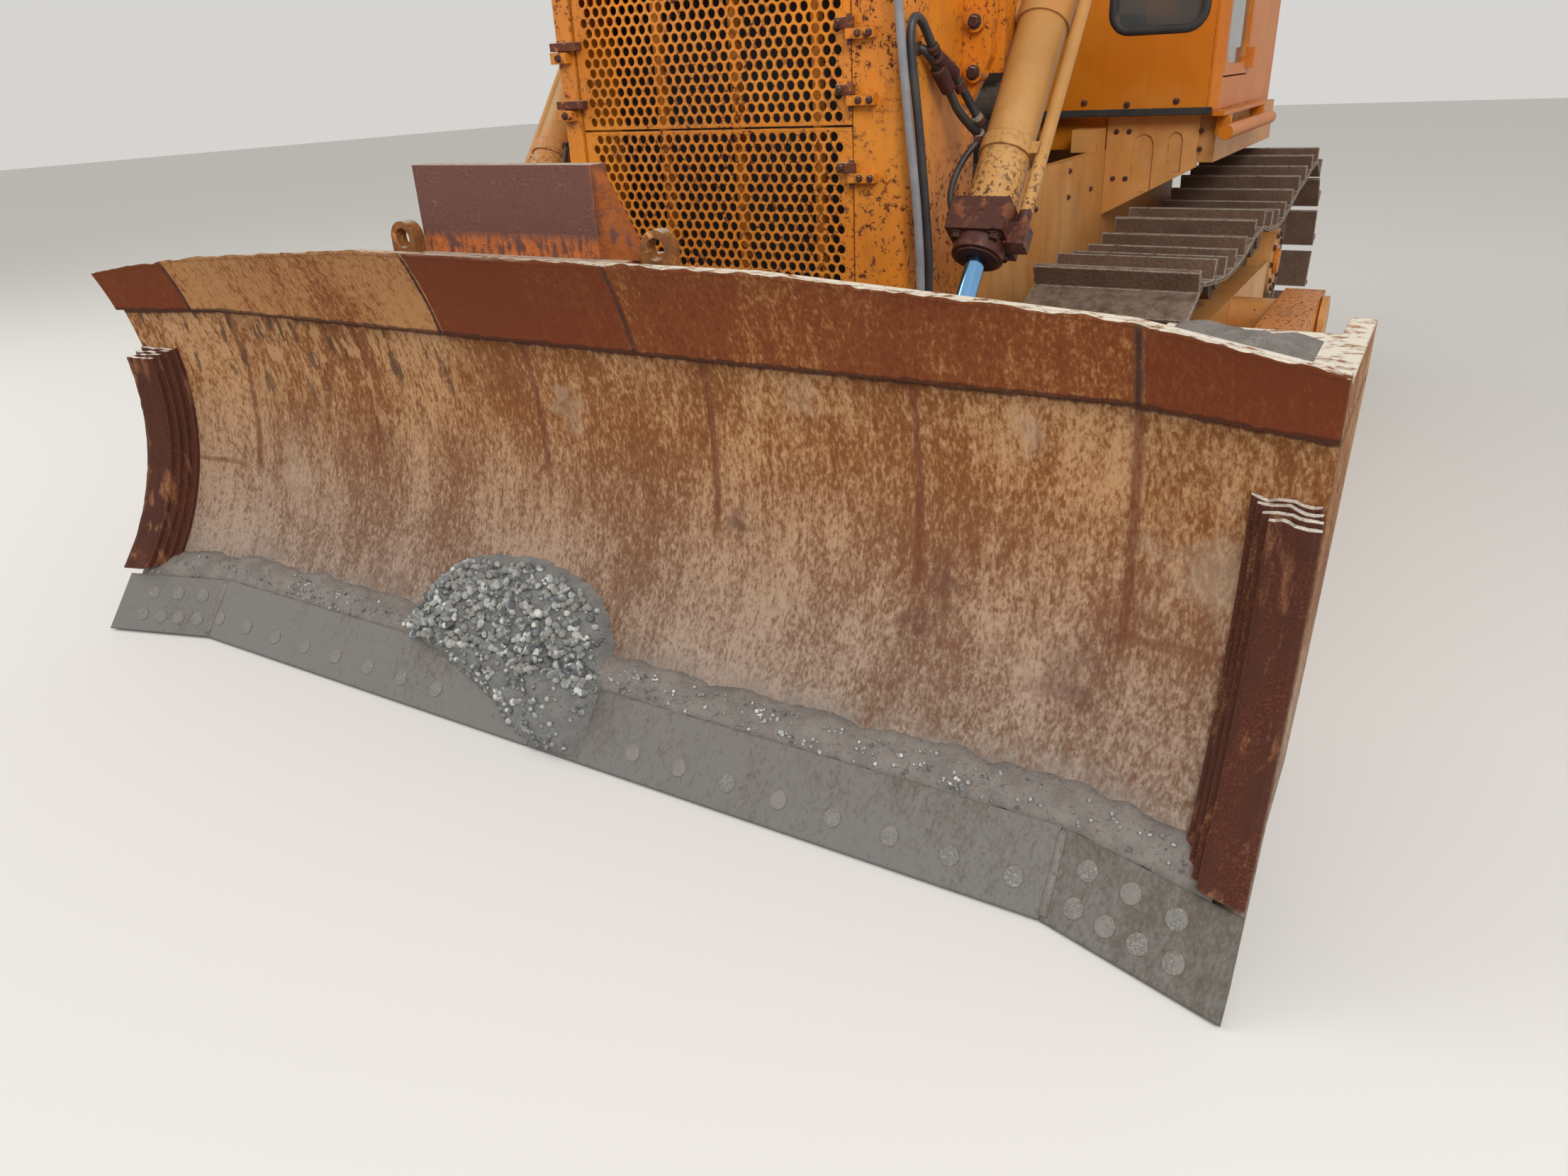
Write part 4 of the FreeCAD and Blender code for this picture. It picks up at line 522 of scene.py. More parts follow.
boxRust = scaledRust("boxRust", "#754D44", "#5C3B33", "#8A6055", -0.03, tail=boxFoot)
brightRust = scaledRust("lugPaintAndRust", "#B47438", "#3C2418", "#DE9B58", 0.04, grain=60)
darkRust = scaledRust("darkHardwareRust", "#5A352A", "#30181A", "#8A5238")
hingeRust = scaledRust("hingeRust", "#7A4630", "#45241C", "#C2713A", 0.06, grain=26)
boltSteel = scaledRust("scouredBoltSteel", "#87857F", "#77736C", "#98968F", -0.02, grain=60)
shoeSteel = trackSteel("trackShoeSteel")
iron = oilyIron("oilyIron")
chrome = skyTintedChrome("skyTintedChrome")
glass = toughenedGlass("toughenedGlass")
rubber = plainSurface("weatheredRubber", "#1D1C1F", "#34302E", 0.62)
greyHose = plainSurface("greyHoseCover", "#75747A", "#8B888A", 0.5)
blackHose = plainSurface("blackHoseCover", "#232225", "#3A3531", 0.42)
vinyl = plainSurface("blackVinyl", "#191817", "#2B2825", 0.5)
zincFitting = plainSurface("zincFitting", "#8F8B7E", "#6E5B48", 0.45)
frostedLens = plainSurface("ribbedLampLens", "#C9CCCB", "#DDE0DE", 0.2)
ledgeSoil = driedSoil("driedSiltOnLedge", "#878079", "#77706A", "#59504A")
# silt tone with painted shade: darkened so that the gaps between the stones read as shadowed
clumpSiltAndShade = driedSoil("packedSiltWithPaintedShade", "#807F7B", "#71706D", "#4E4D4C")
gravelStone = riverStone("riverGravel")
print("materials made")

# what each CAD node is finished in
finishes = [
    (boardSteel, "rusted_plate", "moldboard"),
    (stripSteel, "rusted_plate", "top_wear_strip"),
    (edgeSteel, "worn_steel", "cutting_edges end_bits"),
    (sideSteel, "rusted_plate", "side_wear_strips"),
    (boxRust, "rusted_plate", "top_box"),
    (brightRust, "rusted_plate", "lifting_eyes"),
    (darkRust, "rusted_plate", "rod_brackets"),
    (orangeGuard, "orange_paint", "push_arms blade_braces trunnion_brackets radiator_guard"),
    (orangeGuard, "orange_paint", "upper_grille_door lower_grille_door"),
    (tan, "tan_paint", "left_lift_barrel right_lift_barrel"),
    (chrome, "chromed_rod", "left_lift_rod right_lift_rod"),
    (iron, "dark_iron", "radiator_core engine controls"),
    (darkRust, "dark_iron", "exhaust_stack"),
    (orange, "orange_paint", "hood air_cleaner fuel_tank"),
    (paleOrange, "orange_paint", "main_frame final_drives cross_beams track_frames fenders"),
    (paleOrange, "orange_paint", "rear_case"),
    (shoeSteel, "track_steel", "track_rollers carrier_rollers idlers sprockets"),
    (shoeSteel, "track_steel", "left_track right_track"),
    (shadedCabOrange, "orange_paint", "cab_floor cab_front_wall cab_rear_wall cab_side_walls cab_roof"),
    (shadedCabOrange, "orange_paint", "left_cab_door right_cab_door"),
    (glass, "window_glass", "cab_glass left_door_glass right_door_glass"),
    (vinyl, "black_vinyl", "seat"),
    (darkRust, "worn_steel", "drawbar"),
    (greyHose, "hose_rubber", "front_hoses"),
]
for material, slot, names in finishes:
    for name in names.split():
        nodes[name].data.materials.clear()
        nodes[name].data.materials.append(material)


# pieces
def linked(name, data):
    thing = bpy.data.objects.new(name, data)
    bpy.context.scene.collection.objects.link(thing)
    return thing


def meshPiece(name, mesh, body, material):
    piece = linked(name, mesh)
    if material is not None:
        mesh.materials.clear()
        mesh.materials.append(material)
    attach(piece, body)
    return piece


# the mesh that an object has after its modifiers or bevel; the object goes
def bakedMesh(holder):
    bpy.context.view_layer.update()
    graph = bpy.context.evaluated_depsgraph_get()
    mesh = bpy.data.meshes.new_from_object(holder.evaluated_get(graph), depsgraph=graph)
    bpy.data.objects.remove(holder)
    return mesh


def fromBmesh(name, bm, smooth=False):
    bmesh.ops.remove_doubles(bm, verts=bm.verts, dist=1e-6)
    bmesh.ops.recalc_face_normals(bm, faces=bm.faces)
    for face in bm.faces:
        face.smooth = smooth
    mesh = bpy.data.meshes.new(name)
    bm.to_mesh(mesh)
    bm.free()
    return mesh


# a group of geometry nodes with named inputs and one result
def namedTree(name, inputs):
    tree = bpy.data.node_groups.new(name, "GeometryNodeTree")
    for word, kind in inputs.items():
        tree.interface.new_socket(word, in_out="INPUT", socket_type="NodeSocket" + kind)
    tree.interface.new_socket("Result", in_out="OUTPUT", socket_type="NodeSocketGeometry")
    return tree


# sets a copy of a shape on each point, turned and scaled by the point's own values
def scatterTree():
    tree = namedTree("shapeOnSpots", {"Spots": "Geometry", "Shape": "Object", "Size": "Float",
                                      "Finish": "Material"})
    given = add(tree, "NodeGroupInput")
    shape = add(tree, "GeometryNodeObjectInfo", {"Object": given.outputs["Shape"]})
    turn, stretch = (add(tree, "GeometryNodeInputNamedAttribute", {"Name": word},
                         data_type="FLOAT_VECTOR").outputs[0] for word in ("turn", "stretch"))
    size = add(tree, "ShaderNodeVectorMath", {0: stretch, "Scale": given.outputs["Size"]},
               operation="SCALE")
    toRotation = add(tree, "FunctionNodeEulerToRotation", {0: turn})
    copies = add(tree, "GeometryNodeInstanceOnPoints", {
        "Points": given.outputs["Spots"], "Instance": shape.outputs["Geometry"],
        "Rotation": toRotation.outputs[0], "Scale": size.outputs[0]})
    real = add(tree, "GeometryNodeRealizeInstances", {0: copies.outputs[0]})
    finish = add(tree, "GeometryNodeSetMaterial",
                 {0: real.outputs[0], "Material": given.outputs["Finish"]})
    add(tree, "NodeGroupOutput", {0: finish.outputs[0]})
    return tree


shapeOnSpots = scatterTree()


# runs a tree on a mesh and keeps its result as a plain mesh piece
def applied(name, tree, values, body, start=None):
    holder = linked(name + "Holder", start or bpy.data.meshes.new(name + "Holder"))
    modifier = holder.modifiers.new("made", "NODES")
    modifier.node_group = tree
    sockets = {item.name: item.identifier for item in tree.interface.items_tree
               if item.in_out == "INPUT"}
    for word, value in values.items():
        modifier[sockets[word]] = value
    return meshPiece(name, bakedMesh(holder), body, None)


# spots: rows of (place, direction the shape's +Z takes, spin in degrees, stretch)
def setOnSpots(name, shapeMesh, spots, body, material, size=1.0):
    cloud = bpy.data.meshes.new(name + "Spots")
    cloud.from_pydata([spot[0] for spot in spots], [], [])
    turn = cloud.attributes.new("turn", "FLOAT_VECTOR", "POINT")
    stretch = cloud.attributes.new("stretch", "FLOAT_VECTOR", "POINT")
    for i, (_, direction, spin, scale) in enumerate(spots):
        spun = Matrix.Rotation(math.radians(spin), 3, "Z").to_quaternion()
        turn.data[i].vector = (Vector(direction).to_track_quat("Z", "Y") @ spun).to_euler()
        stretch.data[i].vector = (scale,) * 3 if isinstance(scale, (int, float)) else scale
    shape = linked(name + "Shape", shapeMesh)
    values = {"Shape": shape, "Size": float(size), "Finish": material}
    piece = applied(name, shapeOnSpots, values, body, cloud)
    bpy.data.objects.remove(shape)
    return piece


# a hexagon head on a round washer, standing on z = 0; its corners are a little chamfered
def hexBolt(width, head, washer=0.003):
    bm = bmesh.new()
    for sides, low, tall, foot, top in ((16, 0, washer, 0.74, 0.72), (6, washer, head, 0.57, 0.53)):
        bmesh.ops.create_cone(bm, cap_ends=True, segments=sides, radius1=width * foot,
                              radius2=width * top, depth=tall,
                              matrix=Matrix.Translation((0, 0, low + tall / 2)))
    return fromBmesh("hexBolt", bm)


# a worn plough bolt's head: a low dome, nearly flush
discShape = {"sides": 18, "rings": ((1.0, 0.0), (0.93, 0.7), (0.6, 1.0))}


def discHead(width, rise):
    bm = bmesh.new()
    sides = discShape["sides"]
    turns = [math.tau * i / sides for i in range(sides)]
    rings = []
    for share, height in discShape["rings"]:
        reach = width / 2 * share
        rings.append([bm.verts.new((reach * math.cos(t), reach * math.sin(t), rise * height))
                      for t in turns])
    tubeFaces(bm, rings)
    bm.faces.new(rings[-1])
    bm.faces.new(rings[0][::-1])
    return fromBmesh("discHead", bm)


# faces between each ring of points and the next
def tubeFaces(bm, rings, closed=False):
    count = len(rings[0])
    for one, two in zip(rings, rings[1:] + (rings[:1] if closed else [])):
        for k in range(count):
            bm.faces.new((one[k], one[(k + 1) % count], two[(k + 1) % count], two[k]))


def boxInto(bm, low, high):
    size = Vector(high) - Vector(low)
    middle = (Vector(high) + Vector(low)) / 2
    bmesh.ops.create_cube(bm, size=1,
                          matrix=Matrix.Translation(middle) @ Matrix.Diagonal((*size, 1)))


def rodInto(bm, start, end, radius, sides=16):
    start, end = Vector(start), Vector(end)
    turn = (end - start).to_track_quat("Z", "Y").to_matrix().to_4x4()
    bmesh.ops.create_cone(bm, cap_ends=True, segments=sides, radius1=radius, radius2=radius,
                          depth=(end - start).length,
                          matrix=Matrix.Translation((start + end) / 2) @ turn)


# the same between two places in stations
def rodBetween(bm, start, end, radius, sides=16):
    rodInto(bm, atStation(*start), atStation(*end), radius, sides)


# rounds the sharp edges of what is in a mesh
def easeEdges(bm, offset):
    sharp = [e for e in bm.edges if e.is_manifold and e.calc_face_angle(0) > 0.9]
    bmesh.ops.bevel(bm, geom=sharp, offset=offset, segments=2, affect="EDGES")


# a box between two corners with its edges rounded off, all in stations
def softBoxes(name, boxes, body, material, rounding=0.003):
    bm = bmesh.new()
    for low, high in boxes:
        boxInto(bm, atStation(*low), atStation(*high))
    bmesh.ops.bevel(bm, geom=bm.edges[:], offset=rounding, segments=2, profile=0.6, affect="EDGES")
    return meshPiece(name, fromBmesh(name, bm), body, material)


# the blade's curved front, the same arc as the plate's; off is how far in front of the plate
bladeCurve = {"radius": 1.029, "centreY": -0.58943 + edgeStation / 1000, "centreZ": 0.858,
              "half": 1.579, "tip": 1.997, "tipForward": 0.124, "boardLow": 0.204,
              "edgeTopY": 0.138, "edgeTopZ": 0.181, "edgeFloor": 0.008, "edgeTall": 0.2213}
edgeUp = Vector((0, bladeCurve["edgeTopY"], bladeCurve["edgeTopZ"] - bladeCurve["edgeFloor"]))


def wingShift(x):
    over = max(0.0, abs(x) - bladeCurve["half"]) / (bladeCurve["tip"] - bladeCurve["half"])
    return -over * bladeCurve["tipForward"]


def onBoard(x, z, off=0.0):
    radius = bladeCurve["radius"] - off
    rise = z - bladeCurve["centreZ"]
    forward = math.sqrt(radius * radius - rise * rise)
    return Vector((x, bladeCurve["centreY"] + forward + wingShift(x), z))


# a place on the cutting edge's face, so many metres up it
def onEdge(x, up, off=0.0):
    out = Vector((0, -edgeUp.z, edgeUp.y)).normalized()
    foot = Vector((x, edgeStation / 1000 + wingShift(x), bladeCurve["edgeFloor"]))
    return foot + edgeUp.normalized() * up + out * off


# the way out of the cutting edge's face
def edgeNormal(x):
    lean = bladeCurve["tipForward"] / (bladeCurve["tip"] - bladeCurve["half"])
    sideways = Vector((1, -math.copysign(lean, x) if abs(x) > bladeCurve["half"] else 0, 0))
    normal = sideways.cross(edgeUp).normalized() * -1
    return -normal if normal.y > 0 else normal


# plough bolts, worn nearly flush with the edges
ploughRows = {"width": 0.052, "rise": 0.0035, "sunk": -0.0004, "count": 8, "first": 0.370,
              "rightShift": 0.05, "pitch": 0.161, "up": 0.076,
              "bits": [(1.660, 0.155), (1.764, 0.156), (1.869, 0.154), (1.648, 0.063),
                       (1.726, 0.063), (1.802, 0.064), (1.882, 0.067)]}
boltSpots = []
for i in range(ploughRows["count"]):
    x = ploughRows["first"] + i * ploughRows["pitch"]
    boltSpots += [(x, ploughRows["up"]), (-x - ploughRows["rightShift"], ploughRows["up"])]
for side in (-1, 1):
    boltSpots += [(side * x, up) for x, up in ploughRows["bits"]]
spots = [(onEdge(x, up, ploughRows["sunk"]), edgeNormal(x), 0, 1.0) for x, up in boltSpots]
setOnSpots("ploughBolts", discHead(ploughRows["width"], ploughRows["rise"]), spots, "blade",
           boltSteel)


# a closed skin over a grid of places: front and back rows of points, edges joined
def skin(name, front, back, smooth=True):
    bm = bmesh.new()
    sheets = [[[bm.verts.new(p) for p in row] for row in rows] for rows in (front, back)]
    rows, columns = len(front), len(front[0])
    for sheet, flip in zip(sheets, (False, True)):
        for i in range(rows - 1):
            for j in range(columns - 1):
                face = [sheet[i][j], sheet[i][j + 1], sheet[i + 1][j + 1], sheet[i + 1][j]]
                bm.faces.new(face[::-1] if flip else face)
    rim = [(0, j) for j in range(columns)] + [(i, columns - 1) for i in range(1, rows)]
    rim += [(rows - 1, j) for j in range(columns - 2, -1, -1)]
    rim += [(i, 0) for i in range(rows - 2, 0, -1)]
    for (a, b), (c, d) in zip(rim, rim[1:] + rim[:1]):
        bm.faces.new((sheets[0][a][b], sheets[1][a][b], sheets[1][c][d], sheets[0][c][d]))
    return fromBmesh(name, bm, smooth)


# a skin whose front and back points are given by one function of row and column
def sheet(name, rows, columns, pointsAt, smooth=True):
    grid = [[pointsAt(i, j) for j in range(columns)] for i in range(rows)]
    front, back = ([[pair[which] for pair in row] for row in grid] for which in (0, 1))
    return skin(name, front, back, smooth)


def lumps(place, size, seed=0.0):
    return noise.fractal(Vector(place) / size + Vector((seed, seed * 1.3, 0)), 1.0, 2.0, 4)


# silt and small stones lying on the ledge between the edges and the moldboard
ledgeSpec = {"half": 1.93, "step": 0.014, "rise": 0.048, "across": 6, "swell": 0.016,
             "thick": 0.006}


def ledgeDirt(spec):
    half, across = spec["half"], spec["across"]
    count = int(2 * half / spec["step"])

    def pointsAt(i, j):
        x = -half + 2 * half * i / count
        thick = 1 + 0.35 * lumps((x, 0, 0), 0.25) + 0.25 * lumps((x, 3, 0), 0.06)
        top = bladeCurve["boardLow"] + spec["rise"] * (0.85 + 0.4 * lumps((x, 9, 0), 0.12))
        low = onEdge(x, bladeCurve["edgeTall"] + 0.004 * lumps((x, 5, 1), 0.05), 0.001)
        share = j / across
        flat = low.lerp(onBoard(x, top), share)
        swell = math.sin(math.pi * share) * spec["swell"] * thick
        swell += 0.003 * lumps((x, share, 2), 0.03)
        out = Vector((0, -0.75, 0.66)) * swell * (0 if j in (0, across) else 1)
        return flat + out, flat + Vector((0, 0.75, -0.66)) * spec["thick"]

    return sheet("ledgeDirt", count + 1, across + 1, pointsAt)


meshPiece("ledgeDirt", ledgeDirt(ledgeSpec), "blade", ledgeSoil)


# one pebble: a few dozen faces, rounded by smooth shading
def pebble(name):
    bm = bmesh.new()
    bmesh.ops.create_uvsphere(bm, u_segments=7, v_segments=5, radius=0.5)
    for vert in bm.verts:
        vert.co *= 1 + 0.12 * noise.noise(vert.co * 2.1)
    return fromBmesh(name, bm, True)


# the clump of gravel pushed up against the board: its outline as (x, z) on the blade, in metres
clumpSpec = {"outline": [(-0.655, 0.190), (-0.60, 0.30), (-0.545, 0.362), (-0.46, 0.405),
                         (-0.366, 0.424), (-0.23, 0.440), (-0.098, 0.434), (0.01, 0.405),
                         (0.089, 0.365), (0.155, 0.285), (0.195, 0.185), (0.19, 0.09),
                         (0.165, 0.02), (0.06, 0.012), (-0.06, 0.035), (-0.16, 0.085),
                         (-0.30, 0.125), (-0.48, 0.165)],
             "thick": 0.085, "reach": 0.13, "step": 0.0125, "left": -0.68, "wide": 0.90,
             "low": 0.010, "tall": 0.45, "behind": -0.008, "seed": 7, "stones": 1150,
             "stoneSize": (0.012, 0.031),
             "acrossDraw": (-0.66, 0.20), "upDraw": (0.012, 0.445), "sunk": (0.12, 0.42)}


def edgeGap(outlinePoints, x, z):
    inside, nearest = False, 9.0
    for (x1, z1), (x2, z2) in zip(outlinePoints, outlinePoints[1:] + outlinePoints[:1]):
        if (z1 > z) != (z2 > z) and x < (x2 - x1) * (z - z1) / (z2 - z1) + x1:
            inside = not inside
        dx, dz = x2 - x1, z2 - z1
        t = max(0.0, min(1.0, ((x - x1) * dx + (z - z1) * dz) / (dx * dx + dz * dz)))
        nearest = min(nearest, math.hypot(x1 + t * dx - x, z1 + t * dz - z))
    return nearest if inside else -nearest


# where the clump lies: on the edge's face low down, on the board above, a ramp between
def bladeFace(x, z, off):
    topEdge, lowBoard = bladeCurve["edgeTopZ"], 0.215
    floor, tall = bladeCurve["edgeFloor"], bladeCurve["edgeTall"]
    if z <= topEdge:
        return onEdge(x, (z - floor) * (tall / 0.173), off)
    if z >= lowBoard:
        return onBoard(x, z, off)
    share = (z - topEdge) / (lowBoard - topEdge)
    return onEdge(x, tall, off).lerp(onBoard(x, lowBoard, off), share)


def clumpHeight(spec, x, z):
    gap = edgeGap(spec["outline"], x, z)
    if gap <= 0:
        return -0.004
    share = min(1.0, gap / spec["reach"])
    swell = math.sqrt(share * (2 - share))
    swell *= spec["thick"] * (0.85 + 0.5 * lumps((x, z, 0), 0.11))
    return swell + 0.006 * lumps((x, z, 4), 0.02)


def gravelClump(spec):
    bm = bmesh.new()
    step = spec["step"]
    xs = [spec["left"] + step * i for i in range(int(spec["wide"] / step) + 1)]
    zs = [spec["low"] + step * i for i in range(int(spec["tall"] / step) + 1)]
    grid = {}
    for i, x in enumerate(xs):
        for j, z in enumerate(zs):
            if edgeGap(spec["outline"], x, z) > -step * 1.2:
                grid[i, j] = [bm.verts.new(bladeFace(x, z, off))
                              for off in (clumpHeight(spec, x, z), spec["behind"])]
    corners = ((1, 0), (0, 1), (1, 1))
    cells = [(i, j) for i, j in grid if all((i + a, j + b) in grid for a, b in corners)]
    for i, j in cells:
        ring = [(i, j), (i + 1, j), (i + 1, j + 1), (i, j + 1)]
        bm.faces.new([grid[c][0] for c in ring])
        bm.faces.new([grid[c][1] for c in ring[::-1]])
        around = ((i, j - 1), (i + 1, j), (i, j + 1), (i - 1, j))
        for (a, b), outside in zip(zip(ring, ring[1:] + ring[:1]), around):
            if outside not in cells:
                bm.faces.new((grid[b][0], grid[a][0], grid[a][1], grid[b][1]))
    bmesh.ops.delete(bm, geom=[v for v in bm.verts if not v.link_faces], context="VERTS")
    return fromBmesh("gravelClump", bm, True)


meshPiece("gravelClump", gravelClump(clumpSpec), "blade", clumpSiltAndShade)

# loose stones half sunk in the clump, crowded along its top; the draws are in a fixed order
draw = random.Random(clumpSpec["seed"])
pebbleSpots = []
while len(pebbleSpots) < clumpSpec["stones"]:
    x, z = draw.uniform(*clumpSpec["acrossDraw"]), draw.uniform(*clumpSpec["upDraw"])
    gap = edgeGap(clumpSpec["outline"], x, z)
    crown = 1.0 if z > 0.5 * (0.44 - 0.35 * abs(x + 0.2)) else 0.35
    if gap < 0.004 or draw.random() > crown:
        continue
    size = draw.uniform(*clumpSpec["stoneSize"]) * (1.0 if crown == 1.0 else 0.75)
    shape = [size * draw.uniform(*span) for span in ((0.9, 1.25), (0.8, 1.1), (0.7, 1.0))]
    off = clumpHeight(clumpSpec, x, z) + size * draw.uniform(*clumpSpec["sunk"])
    aim = Vector((draw.uniform(-0.5, 0.5), -1, draw.uniform(0, 1)))
    pebbleSpots.append((bladeFace(x, z, off), aim, draw.uniform(0, 360), shape))
setOnSpots("clumpPebbles", pebble("pebble"), pebbleSpots, "blade", gravelStone)

# small stones along the ledge, half of them in drifts
driftSpec = {"count": 420, "half": (-1.9, 1.92), "drifts": (-1.15, -0.9, 0.33, 0.75, 1.05, 1.28),
             "spread": 0.09, "size": (0.004, 0.012), "top": 0.24,
             "lift": Vector((0, -0.012, 0.010))}
ledgeSpots = []
for i in range(driftSpec["count"]):
    if draw.random() < 0.5:
        x = draw.uniform(*driftSpec["half"])
    else:
        x = draw.choice(driftSpec["drifts"]) + draw.gauss(0, driftSpec["spread"])
    size = draw.uniform(*driftSpec["size"])
    low, high = onEdge(x, bladeCurve["edgeTall"], 0.004), onBoard(x, driftSpec["top"], 0.004)
    place = low.lerp(high, draw.uniform(0.05, 0.85)) + driftSpec["lift"]
    aim = (draw.uniform(-1, 1), -1, 1)
    ledgeSpots.append((place, aim, draw.uniform(0, 360), (size * 1.2, size, size * 0.7)))
setOnSpots("ledgeStones", pebble("smallPebble"), ledgeSpots, "blade", gravelStone)

# the joints between edges and end bits, filled with the same silt
siltSpec = {"across": (-0.006, 0.004, 0.014), "low": 0.012, "tall": 0.2, "rows": 14, "proud": 0.002}


def jointSilt(spec, side):
    def pointsAt(i, j):
        up = spec["low"] + spec["tall"] * i / spec["rows"]
        off = spec["proud"] + spec["proud"] * lumps((up, side, 0), 0.03)
        place = onEdge(side * bladeCurve["half"] + side * spec["across"][j], up, off)
        return place, place + Vector((0, 0.008, -0.006))

    return sheet("jointSilt", spec["rows"] + 1, len(spec["across"]), pointsAt)


meshPiece("rightJointSilt", jointSilt(siltSpec, -1), "blade", ledgeSoil)
meshPiece("leftJointSilt", jointSilt(siltSpec, 1), "blade", ledgeSoil)


# strips welded in layers up each side of the blade, each a little shorter, their tops torn
sideLayers = {"count": 4, "thick": 0.0185, "gap": 0.001, "clear": 0.0003, "inner": 1.850,
              "outer": 1.9965, "low": 0.214, "highest": 0.9845,
              "tops": [0.984, 0.978, 0.970, 0.960], "inset": [0.0, 0.016, 0.030, 0.046],
              "outset": [0.010, 0.005, 0.002, 0.0], "rows": 56, "across": 8, "easing": 0.004}


def sideLayer(spec, layer, side):
    near = (spec["thick"] + spec["gap"]) * layer + spec["clear"]
    inner = spec["inner"] + spec["inset"][layer]
    outer = spec["outer"] - spec["outset"][layer]

    def pointsAt(i, j):
        x = inner + (outer - inner) * j / spec["across"]
        top = spec["tops"][layer] + 0.014 * (lumps((x, layer, side), 0.05) - 0.3)
        z = spec["low"] + (min(top, spec["highest"]) - spec["low"]) * (i / spec["rows"])
        ripple = 0.0025 * lumps((x, z, layer), 0.03)
        drop = spec["easing"] if j in (0, spec["across"]) else 0
        off = near + spec["thick"] + ripple - drop
        return onBoard(side * x, z, off), onBoard(side * x, z, near)

    return sheet("sideLayer", spec["rows"] + 1, spec["across"] + 1, pointsAt, False)


for side, word in ((1, "left"), (-1, "right")):
    for layer in range(sideLayers["count"]):
        name = "%sSideLayer%d" % (word, layer + 1)
        piece = meshPiece(name, sideLayer(sideLayers, layer, side), "blade", sideSteel)
        if side > 0 and layer == 0:
            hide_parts("side_wear_strips")


# the blade's crowned top edge, rows of (from, height there, fall, over so many metres): level, then
# falling to the wings and on to the tips
crownSteps = [(1.579, 1.313, 0.051, 0.418), (0.7, 1.372, 0.059, 0.879)]


def crownHeight(x):
    for start, height, fall, over in crownSteps:
        if abs(x) > start:
            return height - (abs(x) - start) / over * fall
    return crownSteps[-1][1]


# a torn, rolled-over sliver along the blade's top edge
tornEdge = {"step": 0.011, "half": 1.99, "tall": 0.008, "lean": 0.006, "thick": 0.004,
            "proud": 0.024}


def tornSliver(spec):
    half = spec["half"]
    count = int(2 * half / spec["step"])

    def pointsAt(i, j):
        x = -half + 2 * half * i / count
        tear = max(0.0, lumps((x, 1, 7), 0.07) + 0.55) * spec["tall"]
        base = onBoard(x, crownHeight(x) - 0.004, spec["proud"])
        if j == 0:
            return base + Vector((0, 0, -0.002)), base + Vector((0, spec["thick"] + 0.006, 0.002))
        rolled = Vector((0, -spec["lean"] * (0.4 + tear * 60), 0.003 + tear))
        return base + rolled, base + Vector((0, spec["thick"], 0.004 + tear * 0.8))

    return sheet("tornTopEdge", count + 1, 2, pointsAt, False)


meshPiece("tornTopEdge", tornSliver(tornEdge), "blade", stripSteel)

# weld bead under the top strip and up its joints: short overlapping ripples
beadSpec = {"low": 1.1255, "half": 1.985, "count": 360, "proud": 0.004, "radius": 0.006,
            "ripple": 0.0016, "sides": 8, "jointLow": 1.132, "jointDrop": 1.14, "jointCount": 20,
            "jointProud": 0.0235, "jointRadius": 0.0045}


def beadAlong(places, radius, spec):
    bm = bmesh.new()
    rings = []
    front = Vector((0, -1, 0))
    turns = [math.tau * k / spec["sides"] for k in range(spec["sides"])]
    for i, place in enumerate(places):
        ahead = (places[min(i + 1, len(places) - 1)] - places[max(i - 1, 0)]).normalized()
        out = front - ahead * front.dot(ahead)
        out.normalize()
        side = ahead.cross(out)
        swell = radius + spec["ripple"] * (i % 2) + 0.0015 * lumps(place, 0.05)
        ring = [out * swell * math.cos(t) * 0.7 + side * swell * math.sin(t) for t in turns]
        rings.append([bm.verts.new(place + reach) for reach in ring])
    tubeFaces(bm, rings)
    bm.faces.new(rings[0])
    bm.faces.new(rings[-1][::-1])
    return fromBmesh("bead", bm, True)


half, count = beadSpec["half"], beadSpec["count"]
underStrip = [onBoard(-half + 2 * half * i / count, beadSpec["low"], beadSpec["proud"])
              for i in range(count + 1)]
meshPiece("stripWeld", beadAlong(underStrip, beadSpec["radius"], beadSpec), "blade", darkRust)
for number, (x, _, _) in enumerate(stripJoints):
    low, count = beadSpec["jointLow"], beadSpec["jointCount"]
    line = [onBoard(x, low + (crownHeight(x) - beadSpec["jointDrop"]) * k / count,
                    beadSpec["jointProud"]) for k in range(count + 1)]
    bead = beadAlong(line, beadSpec["jointRadius"], beadSpec)
    meshPiece("stripJointWeld%d" % (number + 1), bead, "blade", darkRust)

# dirt that lies on the blade's rear shelf, behind each wing
shelfSpec = {"xs": (1.60, 1.915), "stations": (300, 640), "forward": 0.075, "z": 1.2352,
             "thick": 0.024, "across": 22, "along": 24}


def shelfDirt(spec, side):
    across, along = spec["across"], spec["along"]

    def pointsAt(i, j):
        x = spec["xs"][0] + (spec["xs"][1] - spec["xs"][0]) * i / across
        station = spec["stations"][0] + (spec["stations"][1] - spec["stations"][0]) * j / along
        y = (station + edgeStation) / 1000 + wingShift(x) + spec["forward"]
        rim = min(i, across - i, j + 3, along - j) / 4
        tall = spec["thick"] * min(1, rim) * (0.9 + 0.8 * lumps((x * side, y, 0), 0.09))
        tall += 0.004 * lumps((x, y, 5), 0.02)
        top = spec["z"] + max(0.0005, tall) * (1 if rim > 0 else 0)
        return Vector((side * x, y, top)), Vector((side * x, y, spec["z"] - 0.0002))

    return sheet("shelfDirt", across + 1, along + 1, pointsAt)


